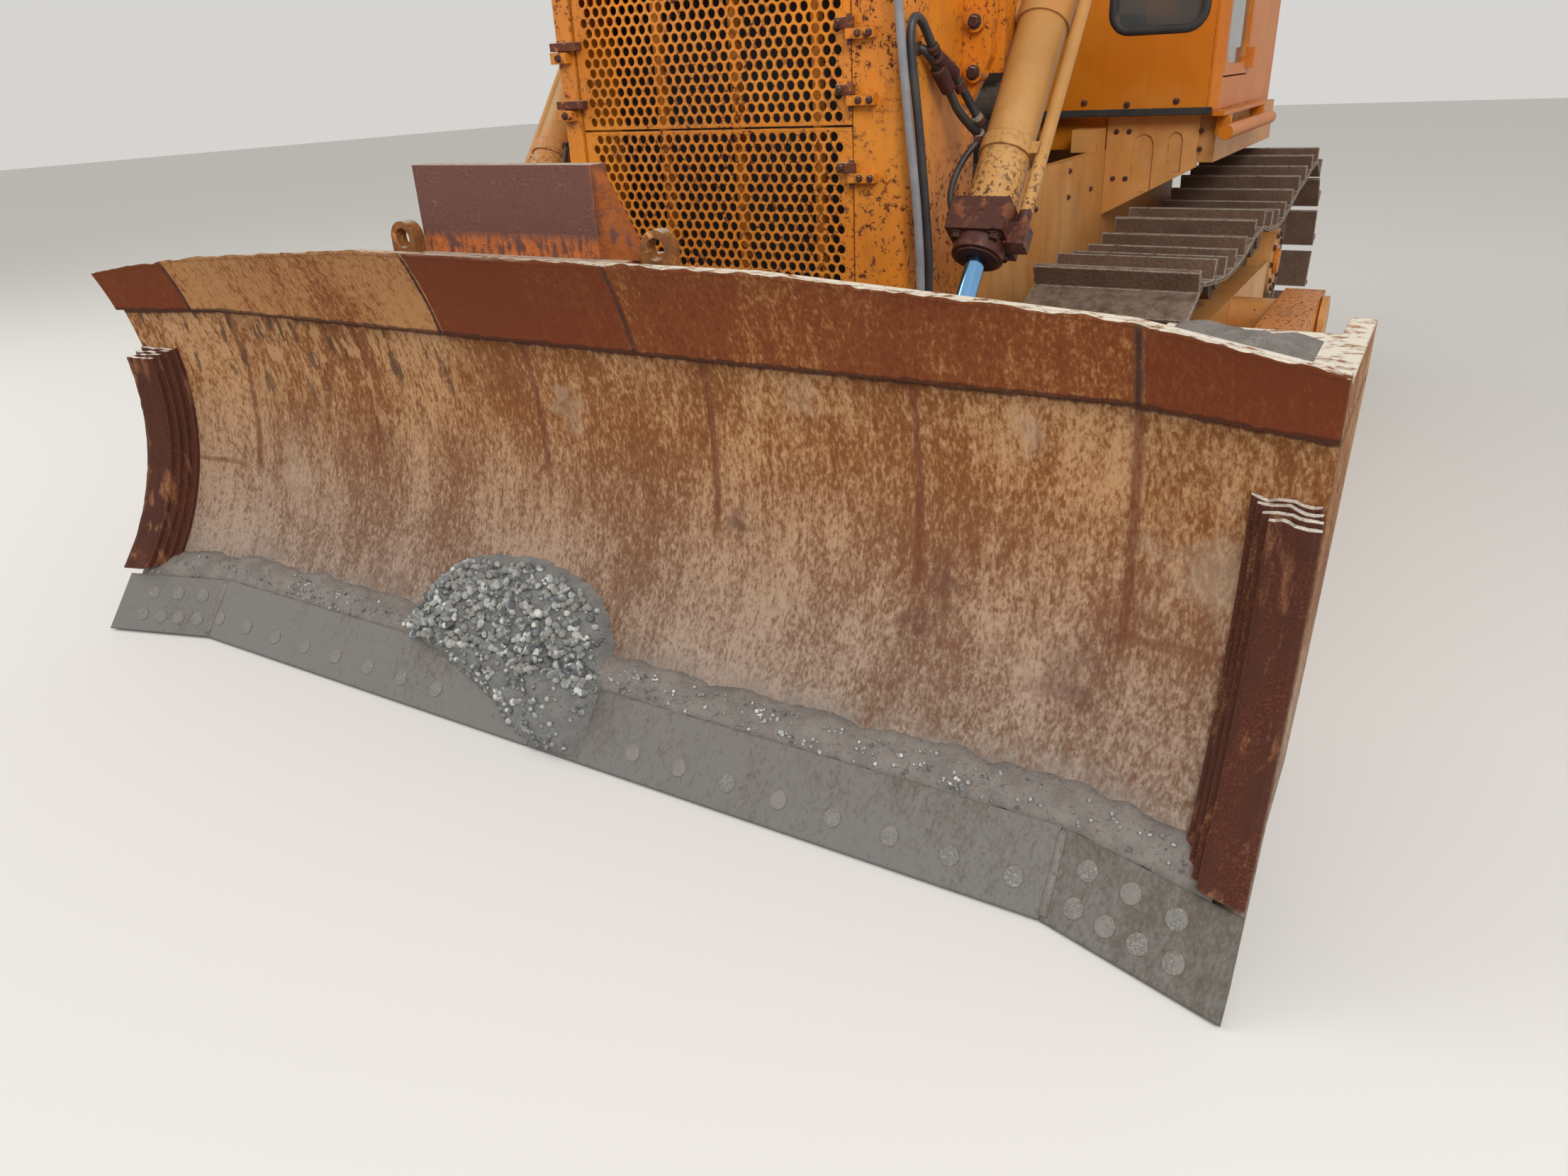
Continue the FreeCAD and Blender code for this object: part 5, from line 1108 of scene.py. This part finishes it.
meshPiece("leftShelfDirt", shelfDirt(shelfSpec, 1), "blade", ledgeSoil)
meshPiece("rightShelfDirt", shelfDirt(shelfSpec, -1), "blade", ledgeSoil)
print("blade dressed")

# radiator doors: perforated plate made by rows of cells, one hole in each
doorPlate = {"half": 0.513, "front": -1.9815, "thick": 0.006, "flange": 0.008, "pitch": 0.036,
             "rowStep": 0.0297, "holeRadius": 0.0137, "holeSides": 14, "bendDeep": 0.024,
             "columns": 27}
doorRows = {"upper": {"low": 1.645, "high": 2.090, "rows": 14, "firstRow": 1.669},
            "lower": {"low": 0.960, "high": 1.639, "rows": 22, "firstRow": 0.990}}


# one cell of the plate in its own plane: x along the row, z up, the front at y = 0
def holeCell(spec):
    wide, tall = spec["pitch"] / 2, spec["rowStep"] / 2
    radius, count = spec["holeRadius"], spec["holeSides"]
    bm = bmesh.new()
    rim = [(-wide, -tall), (0, -tall), (wide, -tall), (wide, tall), (0, tall), (-wide, tall)]
    turns = [math.tau * (i + 0.5) / count - math.pi / 2 for i in range(count)]
    holes = []
    for y in (0, spec["thick"]):
        outer = [bm.verts.new((x, y, z)) for x, z in rim]
        inner = [bm.verts.new((radius * math.cos(t), y, radius * math.sin(t))) for t in turns]
        edges = [bm.edges.new((ring[i], ring[(i + 1) % len(ring)]))
                 for ring in (outer, inner) for i in range(len(ring))]
        bmesh.ops.triangle_fill(bm, edges=edges, use_beauty=True)
        holes.append(inner)
    tubeFaces(bm, holes)
    return fromBmesh("holeCell", bm)


# rows of cells, every other row shifted by half a pitch and one cell shorter
def perforatedTree():
    tree = namedTree("perforatedRows",
                     {"Base": "Geometry", "Cell": "Object", "Columns": "Int", "Rows": "Int",
                      "Pitch": "Float", "RowStep": "Float", "Corner": "Vector",
                      "Finish": "Material"})
    given = add(tree, "NodeGroupInput").outputs
    total = maths(tree, "MULTIPLY", given["Columns"], given["Rows"])
    line = add(tree, "GeometryNodePoints", {"Count": total})
    index = add(tree, "GeometryNodeInputIndex").outputs[0]
    row = maths(tree, "FLOOR", maths(tree, "DIVIDE", index, given["Columns"]))
    column = maths(tree, "MODULO", index, given["Columns"])
    odd = maths(tree, "MODULO", row, 2.0)
    across = maths(tree, "MULTIPLY", maths(tree, "MULTIPLY_ADD", odd, 0.5, column), given["Pitch"])
    up = maths(tree, "MULTIPLY", row, given["RowStep"])
    spot = add(tree, "ShaderNodeCombineXYZ", {0: across, 2: up}).outputs[0]
    place = add(tree, "ShaderNodeVectorMath", {0: spot, 1: given["Corner"]}, operation="ADD")
    moved = add(tree, "GeometryNodeSetPosition",
                {"Geometry": line.outputs[0], "Position": place.outputs[0]})
    limit = maths(tree, "SUBTRACT", maths(tree, "SUBTRACT", given["Columns"], odd), 0.5)
    shape = add(tree, "GeometryNodeObjectInfo", {"Object": given["Cell"]})
    cells = add(tree, "GeometryNodeInstanceOnPoints", {
        "Points": moved.outputs[0], "Selection": maths(tree, "LESS_THAN", column, limit),
        "Instance": shape.outputs["Geometry"]})
    real = add(tree, "GeometryNodeRealizeInstances", {0: cells.outputs[0]})
    whole = add(tree, "GeometryNodeMergeByDistance", {0: real.outputs[0], "Distance": 0.00002})
    finish = add(tree, "GeometryNodeSetMaterial",
                 {0: whole.outputs[0], "Material": given["Finish"]})
    add(tree, "NodeGroupOutput", {0: finish.outputs[0]})
    return tree


# the plain border round the holes, the half cells at the rows' ends and the edge bent back
def grilleRim(name, plate, spec):
    half, front, step, flange = plate["half"], plate["front"], plate["rowStep"], plate["flange"]
    behind, back = front + plate["thick"], front + plate["bendDeep"]
    halfPitch = plate["pitch"] / 2
    sideIn = plate["columns"] * halfPitch
    low, high = spec["low"], spec["high"]
    gridLow = spec["firstRow"] - step / 2
    gridHigh = gridLow + spec["rows"] * step
    rim = bmesh.new()

    def bar(x1, x2, y1, y2, z1, z2):
        boxInto(rim, (min(x1, x2), y1, z1), (max(x1, x2), y2, z2))

    for side in (-1, 1):
        bar(side * sideIn, side * half, front, behind, low, high)
        bar(side * (half - flange), side * half, behind, back, low, high)
        for i in range(spec["rows"] // 2):
            foot = gridLow + (2 * i + 1) * step
            bar(side * sideIn, side * (sideIn - halfPitch), front, behind, foot, foot + step)
    bar(-sideIn, sideIn, front, behind, low, gridLow)
    bar(-sideIn, sideIn, front, behind, gridHigh, high)
    for foot in (low, high - flange):
        bar(-half, half, behind, back, foot, foot + flange)
    mesh = bpy.data.meshes.new(name)
    rim.to_mesh(mesh)
    rim.free()
    return mesh


perforatedRows = perforatedTree()
cellShape = linked("cellShape", holeCell(doorPlate))
for word, spec in doorRows.items():
    left = -(doorPlate["columns"] - 1) / 2 * doorPlate["pitch"]
    values = {"Cell": cellShape, "Columns": doorPlate["columns"], "Rows": spec["rows"],
              "Pitch": doorPlate["pitch"], "RowStep": doorPlate["rowStep"],
              "Corner": (left, doorPlate["front"], spec["firstRow"]), "Finish": orangeGuard}
    plate = applied(word + "GrillePlate", perforatedRows, values, word + "_grille")
    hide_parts(word + "_grille_door")
    rim = grilleRim(word + "GrilleRim", doorPlate, spec)
    meshPiece(word + "GrilleRim", rim, word + "_grille", orangeGuard)
bpy.data.objects.remove(cellShape)

# the doors' hinge leaves, knuckles and latches, in stations; the guard carries the other halves
doorIron = {"hinge": (519, 1174.4), "knuckle": 0.0138, "pin": 0.0085, "tail": 0.0075,
            "leaf": ((473, 1165), (513, 1195.4)), "leafTall": 28, "pinTall": 8,
            "tailSpan": (44, 28.5), "latch": ((-600, 1165), (-487, 1188.5)),
            "catch": ((-512, 1187), (-487, 1195.6)), "latchTall": 26, "leafBolt": (487, 1165.2),
            "guardBolts": (548, 584), "latchBolt": (-566, 1163.2),
            "hinges": {"upper": (1727, 1901), "lower": (1130, 1514)},
            "latches": {"upper": (1713, 1889), "lower": (1130, 1514)}}
ahead = (0, -1, 0)


# a box over two (x, station) corners, from a height up
def standing(corners, low, tall):
    return (*corners[0], low), (*corners[1], low + tall)


hingeBolts = {"tractor": [], "upper_grille": [], "lower_grille": []}
pins = bmesh.new()
for word in ("upper", "lower"):
    body = word + "_grille"
    hinge, leafTall = doorIron["hinge"], doorIron["leafTall"]
    boxes, knuckles = [], bmesh.new()
    for low in doorIron["hinges"][word]:
        top = low + leafTall
        boxes.append(standing(doorIron["leaf"], low, leafTall))
        bolt = atStation(*doorIron["leafBolt"], low + leafTall / 2)
        hingeBolts[body].append((bolt, ahead, 10, 0.7))
        hingeBolts["tractor"] += [(atStation(x, doorIron["leafBolt"][1], low - 15), ahead, 20, 0.7)
                                  for x in doorIron["guardBolts"]]
        rodBetween(knuckles, (*hinge, low), (*hinge, top), doorIron["knuckle"], 18)
        pinTop = top + doorIron["pinTall"]
        rodBetween(knuckles, (*hinge, top), (*hinge, pinTop), doorIron["pin"], 12)
        tailFoot, tailTop = (low - drop for drop in doorIron["tailSpan"])
        rodBetween(pins, (*hinge, tailFoot), (*hinge, tailTop), doorIron["tail"], 12)
    for low in doorIron["latches"][word]:
        boxes += [standing(doorIron[part], low, doorIron["latchTall"])
                  for part in ("latch", "catch")]
        hingeBolts["tractor"].append((atStation(*doorIron["latchBolt"], low - 20), ahead, 30, 0.8))
    softBoxes(word + "DoorLeaves", boxes, body, hingeRust)
    meshPiece(word + "DoorKnuckles", fromBmesh("knuckles", knuckles), body, hingeRust)
meshPiece("hingePinTails", fromBmesh("pins", pins), "tractor", darkRust)
for body, rows in hingeBolts.items():
    setOnSpots(body + "HingeBolts", hexBolt(0.022, 0.009), rows, body, darkRust)
print("grille doors made")


# hoses: smooth curves through the clamps and fittings that hold them; the radius is in mm
def hoseTube(name, places, radius, body, material):
    curve = bpy.data.curves.new(name, "CURVE")
    curve.dimensions = "3D"
    spline = curve.splines.new("NURBS")
    spline.points.add(len(places) - 1)
    for point, place in zip(spline.points, places):
        point.co = (*atStation(*place), 1)
    spline.order_u = 3
    spline.use_endpoint_u = True
    spline.resolution_u = 10
    curve.bevel_depth = radius / 1000
    curve.bevel_resolution = 4
    curve.use_fill_caps = True
    mesh = bakedMesh(linked(name + "Holder", curve))
    mesh.shade_smooth()
    return meshPiece(name, mesh, body, material)


# the routes in stations, and the steel on them: (start, end, radius in metres)
frontHoses = {
    "radius": 13,
    "grey": [(672, 1500, 2200.5), (680, 1180, 2200.5), (688, 1112, 2160), (692, 1128, 1960),
             (712, 1148, 1690), (742, 1160, 1420), (752, 1170, 1200), (753, 1172, 1000),
             (752, 1172, 920), (752, 1225, 912), (752, 1300, 912)],
    "black": [(752, 1300, 985), (752, 1225, 985), (758, 1196, 1020), (772, 1190, 1210),
              (762, 1178, 1400), (738, 1160, 1690), (718, 1152, 1850), (718, 1164, 1918),
              (724, 1215, 1915), (734, 1290, 1822), (745, 1420, 1765), (768, 1462, 1700),
              (802, 1492, 1629)],
    "side": [(692.6, 1262, 1840), (712, 1262, 1840), (724, 1300, 1806), (740, 1390, 1722),
             (762, 1424, 1650), (804, 1490, 1592)],
    "couplings": [((733, 1296, 1819), (744, 1406, 1769), 0.0225),
                  ((728, 1322, 1787), (739, 1384, 1727), 0.0225),
                  ((748, 1432, 1746), (756, 1450, 1722), 0.019),
                  ((735, 1286, 1828), (733, 1270, 1846), 0.018),
                  ((692.4, 1262, 1840), (700, 1262, 1840), 0.02),
                  ((796, 1484, 1642), (803, 1493, 1627), 0.019)],
    "ferrules": [((790, 1478, 1650), (796, 1486, 1640), 0.0185),
                 ((798, 1484, 1600), (803, 1489, 1594), 0.0185),
                 ((752, 1292, 912), (752, 1299.6, 912), 0.0185),
                 ((752, 1292, 985), (752, 1299.6, 985), 0.0185)],
    "bracket": ((692.4, 1300, 870), (788, 1334, 1030)),
    "clamp": ((646, 1500, 2180.3), (732, 1540, 2220.3)),
}
grey = hoseTube("greyHose", frontHoses["grey"], frontHoses["radius"], "tractor", greyHose)
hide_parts("front_hoses")
for word in ("black", "side"):
    hoseTube(word + "Hose", frontHoses[word], frontHoses["radius"], "tractor", blackHose)


# several rods in one mesh; their sharp edges are eased by so much
def rodSet(name, rods, sides, easing=0.0):
    bm = bmesh.new()
    for start, end, radius in rods:
        rodBetween(bm, start, end, radius, sides)
    if easing:
        easeEdges(bm, easing)
    return fromBmesh(name, bm)


couplings = rodSet("fittings", frontHoses["couplings"], 14, 0.002)
meshPiece("hoseCouplings", couplings, "tractor", darkRust)
softBoxes("hoseBracket", [frontHoses["bracket"]], "tractor", orangeGuard, 0.004)
softBoxes("roofClamp", [frontHoses["clamp"]], "tractor", orangeGuard, 0.004)
ferrules = rodSet("ferrules", frontHoses["ferrules"], 16)
meshPiece("hoseFerrules", ferrules, "tractor", zincFitting)

# on the lift cylinders: places are (along from the trunnion, out across the machine, fore to the
# cylinder's front), in mm
liftIron = {"flange": 800.5, "corner": 58, "plug": (489, 111), "leakRadius": 10,
            "leak": [(478, -82, 40), (520, -104, 46), (590, -120, 50), (660, -122, 50),
                     (715, -104, 46), (735, -84, 40)],
            "bosses": [((478, -74, 40), (478, -92, 40), 0.015, 14),
                       ((738, -86, 40), (738, -94, 40), 0.015, 14),
                       ((845.3, 0, 0), (851, 0, 0), 0.066, 28)]}
liftFore = Vector((0, liftDown.z, -liftDown.y))


def onLift(side, along, out=0.0, fore=0.0):
    place = liftLine["trunnion"] + liftDown * along + Vector((1, 0, 0)) * out + liftFore * fore
    return (side * place.x, place.y, place.z)


barrelBolts = {}
for side, word in ((1, "left"), (-1, "right")):
    body = word + "_barrel"
    corner = liftIron["corner"]
    bolts = [(atStation(*onLift(side, liftIron["flange"], out, fore)), liftDown, 15, 1.0)
             for out in (-corner, corner) for fore in (-corner, corner)]
    bolts.append((atStation(*onLift(side, *liftIron["plug"])), (side, 0, 0), 10, 0.9))
    barrelBolts[body] = bolts
    leak = [onLift(side, *place) for place in liftIron["leak"]]
    hoseTube(word + "LeakHose", leak, liftIron["leakRadius"], body, blackHose)
    boss = bmesh.new()
    for start, end, radius, sides in liftIron["bosses"]:
        rodBetween(boss, onLift(side, *start), onLift(side, *end), radius, sides)
    meshPiece(word + "BarrelBosses", fromBmesh("bosses", boss), body, darkRust)
for body, bolts in barrelBolts.items():
    setOnSpots(body + "Bolts", hexBolt(0.03, 0.014), bolts, body, darkRust)

# bolts on the trunnion castings, the side plates, the fenders' panels and the cab's front, in
# stations; and on the final drives and the rear case, in metres
boltSpec = {"width": 0.024, "head": 0.010, "guardWalls": ((1, 692), (-1, 594)), "castingOut": 46,
            "castingFace": 1579.6, "castingHeights": (1909, 1769), "sidePlate": 594.2,
            "sidePlaces": ((2700, 1235), (2700, 1345), (3150, 1235), (3150, 1345), (3500, 1235)),
            "panelFace": 3719.8, "panelPlaces": ((640, 1470), (700, 1470), (640, 1260), (700, 1260),
                                                 (1030, 1470), (1030, 1390)),
            "cabFace": 3639.8, "cabPlaces": ((497, 1603), (698, 1590), (-497, 1603), (-698, 1590),
                                             (920, 1600), (-920, 1600))}
rearSpec = {"drive": Vector((1.2272, 2.189, 0.641)), "ringRadius": 0.160, "ringCount": 10,
            "caseY": 2.6842, "caseXs": (-0.395, -0.13, 0.13, 0.395),
            "caseZs": (0.62, 0.79, 0.96, 1.13, 1.30), "coverThick": 0.0118,
            "coverXs": (-0.17, 0.0, 0.17), "coverZs": (0.90, 1.20),
            "cover": ((-200, 5860.8, 870), (200, 5872.6, 1230))}
plateBolts = []
for side, wall in boltSpec["guardWalls"]:
    for z in boltSpec["castingHeights"]:
        out = side * (wall + boltSpec["castingOut"])
        plateBolts.append((atStation(out, boltSpec["castingFace"], z), ahead, 20, 1.25))
    for station, z in boltSpec["sidePlaces"]:
        plateBolts.append((atStation(side * boltSpec["sidePlate"], station, z), (side, 0, 0),
                           station, 0.75))
    for x, z in boltSpec["panelPlaces"]:
        plateBolts.append((atStation(side * x, boltSpec["panelFace"], z), ahead, x, 0.7))
for x, z in boltSpec["cabPlaces"]:
    plateBolts.append((atStation(x, boltSpec["cabFace"], z), ahead, x, 0.85))
for side in (-1, 1):
    for i in range(rearSpec["ringCount"]):
        turn = math.tau * i / rearSpec["ringCount"]
        place = rearSpec["drive"] + Vector((0, math.cos(turn), math.sin(turn))) * rearSpec["ringRadius"]
        plateBolts.append((Vector((side * place.x, place.y, place.z)), (side, 0, 0), i * 17, 1.2))
for x in rearSpec["caseXs"]:
    for z in rearSpec["caseZs"]:
        if x in (rearSpec["caseXs"][0], rearSpec["caseXs"][-1]) or z == rearSpec["caseZs"][-1]:
            plateBolts.append((Vector((x, rearSpec["caseY"], z)), (0, 1, 0), x * 90, 1.0))
for x in rearSpec["coverXs"]:
    for z in rearSpec["coverZs"]:
        place = Vector((x, rearSpec["caseY"] + rearSpec["coverThick"], z))
        plateBolts.append((place, (0, 1, 0), z * 90, 0.8))
bolt = hexBolt(boltSpec["width"], boltSpec["head"])
setOnSpots("panelBolts", bolt, plateBolts, "tractor", darkRust)
softBoxes("rearCaseCover", [rearSpec["cover"]], "tractor", paleOrange, 0.004)

# straps over the tank: down its back and along its top; its cap, and the final drives' hubs
tankSpec = {"straps": (-380, 380), "half": 25, "back": ((5650.8, 1396), (5655.5, 2052)),
            "top": ((5095, 2150.3), (5556, 2155)), "rounding": 0.0015, "easing": 0.004,
            "cap": [((0.2, 2.2, 2.1502), (0.2, 2.2, 2.172), 0.052, 24),
                    ((0.2, 2.2, 2.172), (0.2, 2.2, 2.192), 0.062, 12)],
            "hubEnd": 1.250, "hubRadius": 0.075}
straps = [((x - tankSpec["half"], *low), (x + tankSpec["half"], *high))
          for low, high in (tankSpec["back"], tankSpec["top"]) for x in tankSpec["straps"]]
softBoxes("tankStraps", straps, "tractor", darkRust, tankSpec["rounding"])
caps = bmesh.new()
for start, end, radius, sides in tankSpec["cap"]:
    rodInto(caps, start, end, radius, sides)
for side in (-1, 1):
    inner, *hubLine = rearSpec["drive"]
    rodInto(caps, (side * inner, *hubLine), (side * tankSpec["hubEnd"], *hubLine),
            tankSpec["hubRadius"], 24)
easeEdges(caps, tankSpec["easing"])
meshPiece("capsAndHubs", fromBmesh("caps", caps), "tractor", orange)
print("hoses and bolts made")

# rubber seals round the cab's windows: (axis across the pane, its surface, which way is out, low
# corner, high corner), in stations; the profile is (across, share of how far it stands proud)
sealSpec = {"proud": 0.009, "round": 0.075, "cuts": 6,
            "profile": ((-0.012, -0.02), (-0.012, 0.35), (-0.004, 0.85), (0.007, 1.0), (0.019, 0.7),
                        (0.024, 0.0), (0.0, -0.05))}
windowSeals = [("y", 3640, -1, (605, 1900), (1001, 3015)),
               ("y", 3640, -1, (-1001, 1900), (-605, 3015)),
               ("y", 3640, -1, (-540, 2260), (540, 3015)),
               ("y", 5090, 1, (-800, 2150), (800, 2970)),
               ("x", 1100, 1, (4400, 2150), (4960, 2970)),
               ("x", -1100, -1, (4400, 2150), (4960, 2970))]


def sealRing(spec, axis, surface, out, low, high):
    corner = spec["round"]
    left, foot = low[0] / 1000 + corner, low[1] / 1000 + corner
    right, top = high[0] / 1000 - corner, high[1] / 1000 - corner
    shift = edgeStation / 1000
    bm = bmesh.new()
    rings = []
    for u, v, start in ((right, top, 0), (left, top, 90), (left, foot, 180), (right, foot, 270)):
        for k in range(spec["cuts"] + 1):
            turn = math.radians(start + 90 * k / spec["cuts"])
            ring = []
            for across, rise in spec["profile"]:
                reach = corner + across
                a, b = u + reach * math.cos(turn), v + reach * math.sin(turn)
                depth = surface / 1000 + out * spec["proud"] * rise
                place = (a, depth + shift, b) if axis == "y" else (depth, a + shift, b)
                ring.append(bm.verts.new(place))
            rings.append(ring)
    tubeFaces(bm, rings, closed=True)
    return fromBmesh("seal", bm, True)


for number, pane in enumerate(windowSeals):
    name = "windowSeal%d" % (number + 1)
    meshPiece(name, sealRing(sealSpec, *pane), "tractor", rubber)

# black rubber flap under the cab's front edge, and the lamps' lenses
cabTrim = {"flap": ((-1080, 3630, 1541), (1080, 3639.6, 1572)), "lens": (760, 3530.6, 3135),
           "lensWide": 0.128, "lensRise": 0.012}
softBoxes("cabFrontFlap", [cabTrim["flap"]], "tractor", rubber)
lensX, *lensHigh = cabTrim["lens"]
lensSpots = [(atStation(side * lensX, *lensHigh), ahead, 0, 1.0) for side in (-1, 1)]
lens = discHead(cabTrim["lensWide"], cabTrim["lensRise"])
setOnSpots("lampLenses", lens, lensSpots, "tractor", frostedLens)

# the seat: crowned cushion and back over a plain pedestal, channels pressed between the sewn panels
seatSpec = {"corner": 0.035, "cuts": 17, "channels": (-0.34, 0.34), "channelWide": 0.05,
            "pressed": 0.010, "cushion": ((-260, 4400, 1860.5), (260, 4858, 1990), 0.014, 2, 1),
            "backrest": ((-250, 4868, 1960), (250, 4980, 2640), 0.012, 1, -1),
            "pedestal": [((-200, 4480, 1560.5), (200, 4860, 1859)),
                         ((-230, 4420, 1846), (230, 4850, 1860)),
                         ((-40, 4858, 1800), (40, 4868, 2300))]}


# low and high corner, how far it is crowned, along which axis and which way
def paddedForm(name, spec, low, high, crown, axis, way):
    low, high = atStation(*low), atStation(*high)
    middle, half = (low + high) / 2, (high - low) / 2
    corner = spec["corner"]
    bm = bmesh.new()
    bmesh.ops.create_cube(bm, size=2)
    bmesh.ops.subdivide_edges(bm, edges=bm.edges[:], cuts=spec["cuts"], use_grid_fill=True)
    wide, deep = [i for i in range(3) if i != axis]
    for vert in bm.verts:
        share = vert.co.copy()
        place = Vector([share[i] * half[i] for i in range(3)])
        core = Vector([max(-half[i] + corner, min(half[i] - corner, place[i])) for i in range(3)])
        if (place - core).length > 1e-9:
            place = core + (place - core).normalized() * corner
        bulge = (1 - share[wide] ** 2) * (1 - share[deep] ** 2)
        channels = sum(math.exp(-((share[wide] - at) / spec["channelWide"]) ** 2)
                       for at in spec["channels"])
        if share[axis] * way > 0.9:
            place[axis] += way * (crown * bulge - spec["pressed"] * channels * bulge)
        vert.co = middle + place
    return fromBmesh(name, bm, True)


cushionForm = paddedForm("cushion", seatSpec, *seatSpec["cushion"])
backForm = paddedForm("backrest", seatSpec, *seatSpec["backrest"])
cushion = meshPiece("seatCushion", cushionForm, "tractor", vinyl)
backrest = meshPiece("seatBackrest", backForm, "tractor", vinyl)
softBoxes("seatPedestal", seatSpec["pedestal"], "tractor", iron, 0.006)
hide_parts("seat")
print("cab dressed")

# stage: pale floor, soft lamps, even world
stageSpec = {"floorHalf": 40.0, "floorZ": -0.002, "floorTone": "#D9D7D3", "worldTone": "#EFEDE9",
             "worldStrength": 0.78, "keyPlace": (6.5, -9.0, 8.0), "keyPower": 860.0, "keySize": 5.0,
             "fillPlace": (-8.0, -5.0, 6.0), "fillPower": 320.0, "fillSize": 6.0, "aim": (0, -1, 1)}


def makeStage(spec):
    bm = bmesh.new()
    down = Matrix.Translation((0, 0, spec["floorZ"]))
    bmesh.ops.create_grid(bm, x_segments=1, y_segments=1, size=spec["floorHalf"], matrix=down)
    mesh = bpy.data.meshes.new("floor")
    bm.to_mesh(mesh)
    bm.free()
    floor = linked("floor", mesh)
    material, tree = newMaterial("paleFloor")
    shade(tree, srgb(spec["floorTone"]), 0.9, rounding=0)
    mesh.materials.append(material)
    world = bpy.data.worlds.new("evenSky")
    world.use_nodes = True
    world.node_tree.nodes.clear()
    sky = add(world.node_tree, "ShaderNodeBackground",
              {0: srgb(spec["worldTone"]), 1: spec["worldStrength"]})
    add(world.node_tree, "ShaderNodeOutputWorld", {0: sky.outputs[0]})
    bpy.context.scene.world = world
    for word in ("key", "fill"):
        lamp = bpy.data.lights.new(word + "Lamp", "AREA")
        lamp.energy = spec[word + "Power"]
        lamp.size = spec[word + "Size"]
        place = Vector(spec[word + "Place"])
        aim = (Vector(spec["aim"]) - place).to_track_quat("-Z", "Y").to_matrix().to_4x4()
        linked(word + "Lamp", lamp).matrix_world = Matrix.Translation(place) @ aim


makeStage(stageSpec)
bpy.context.scene.view_settings.view_transform = "Standard"
print("stage made")
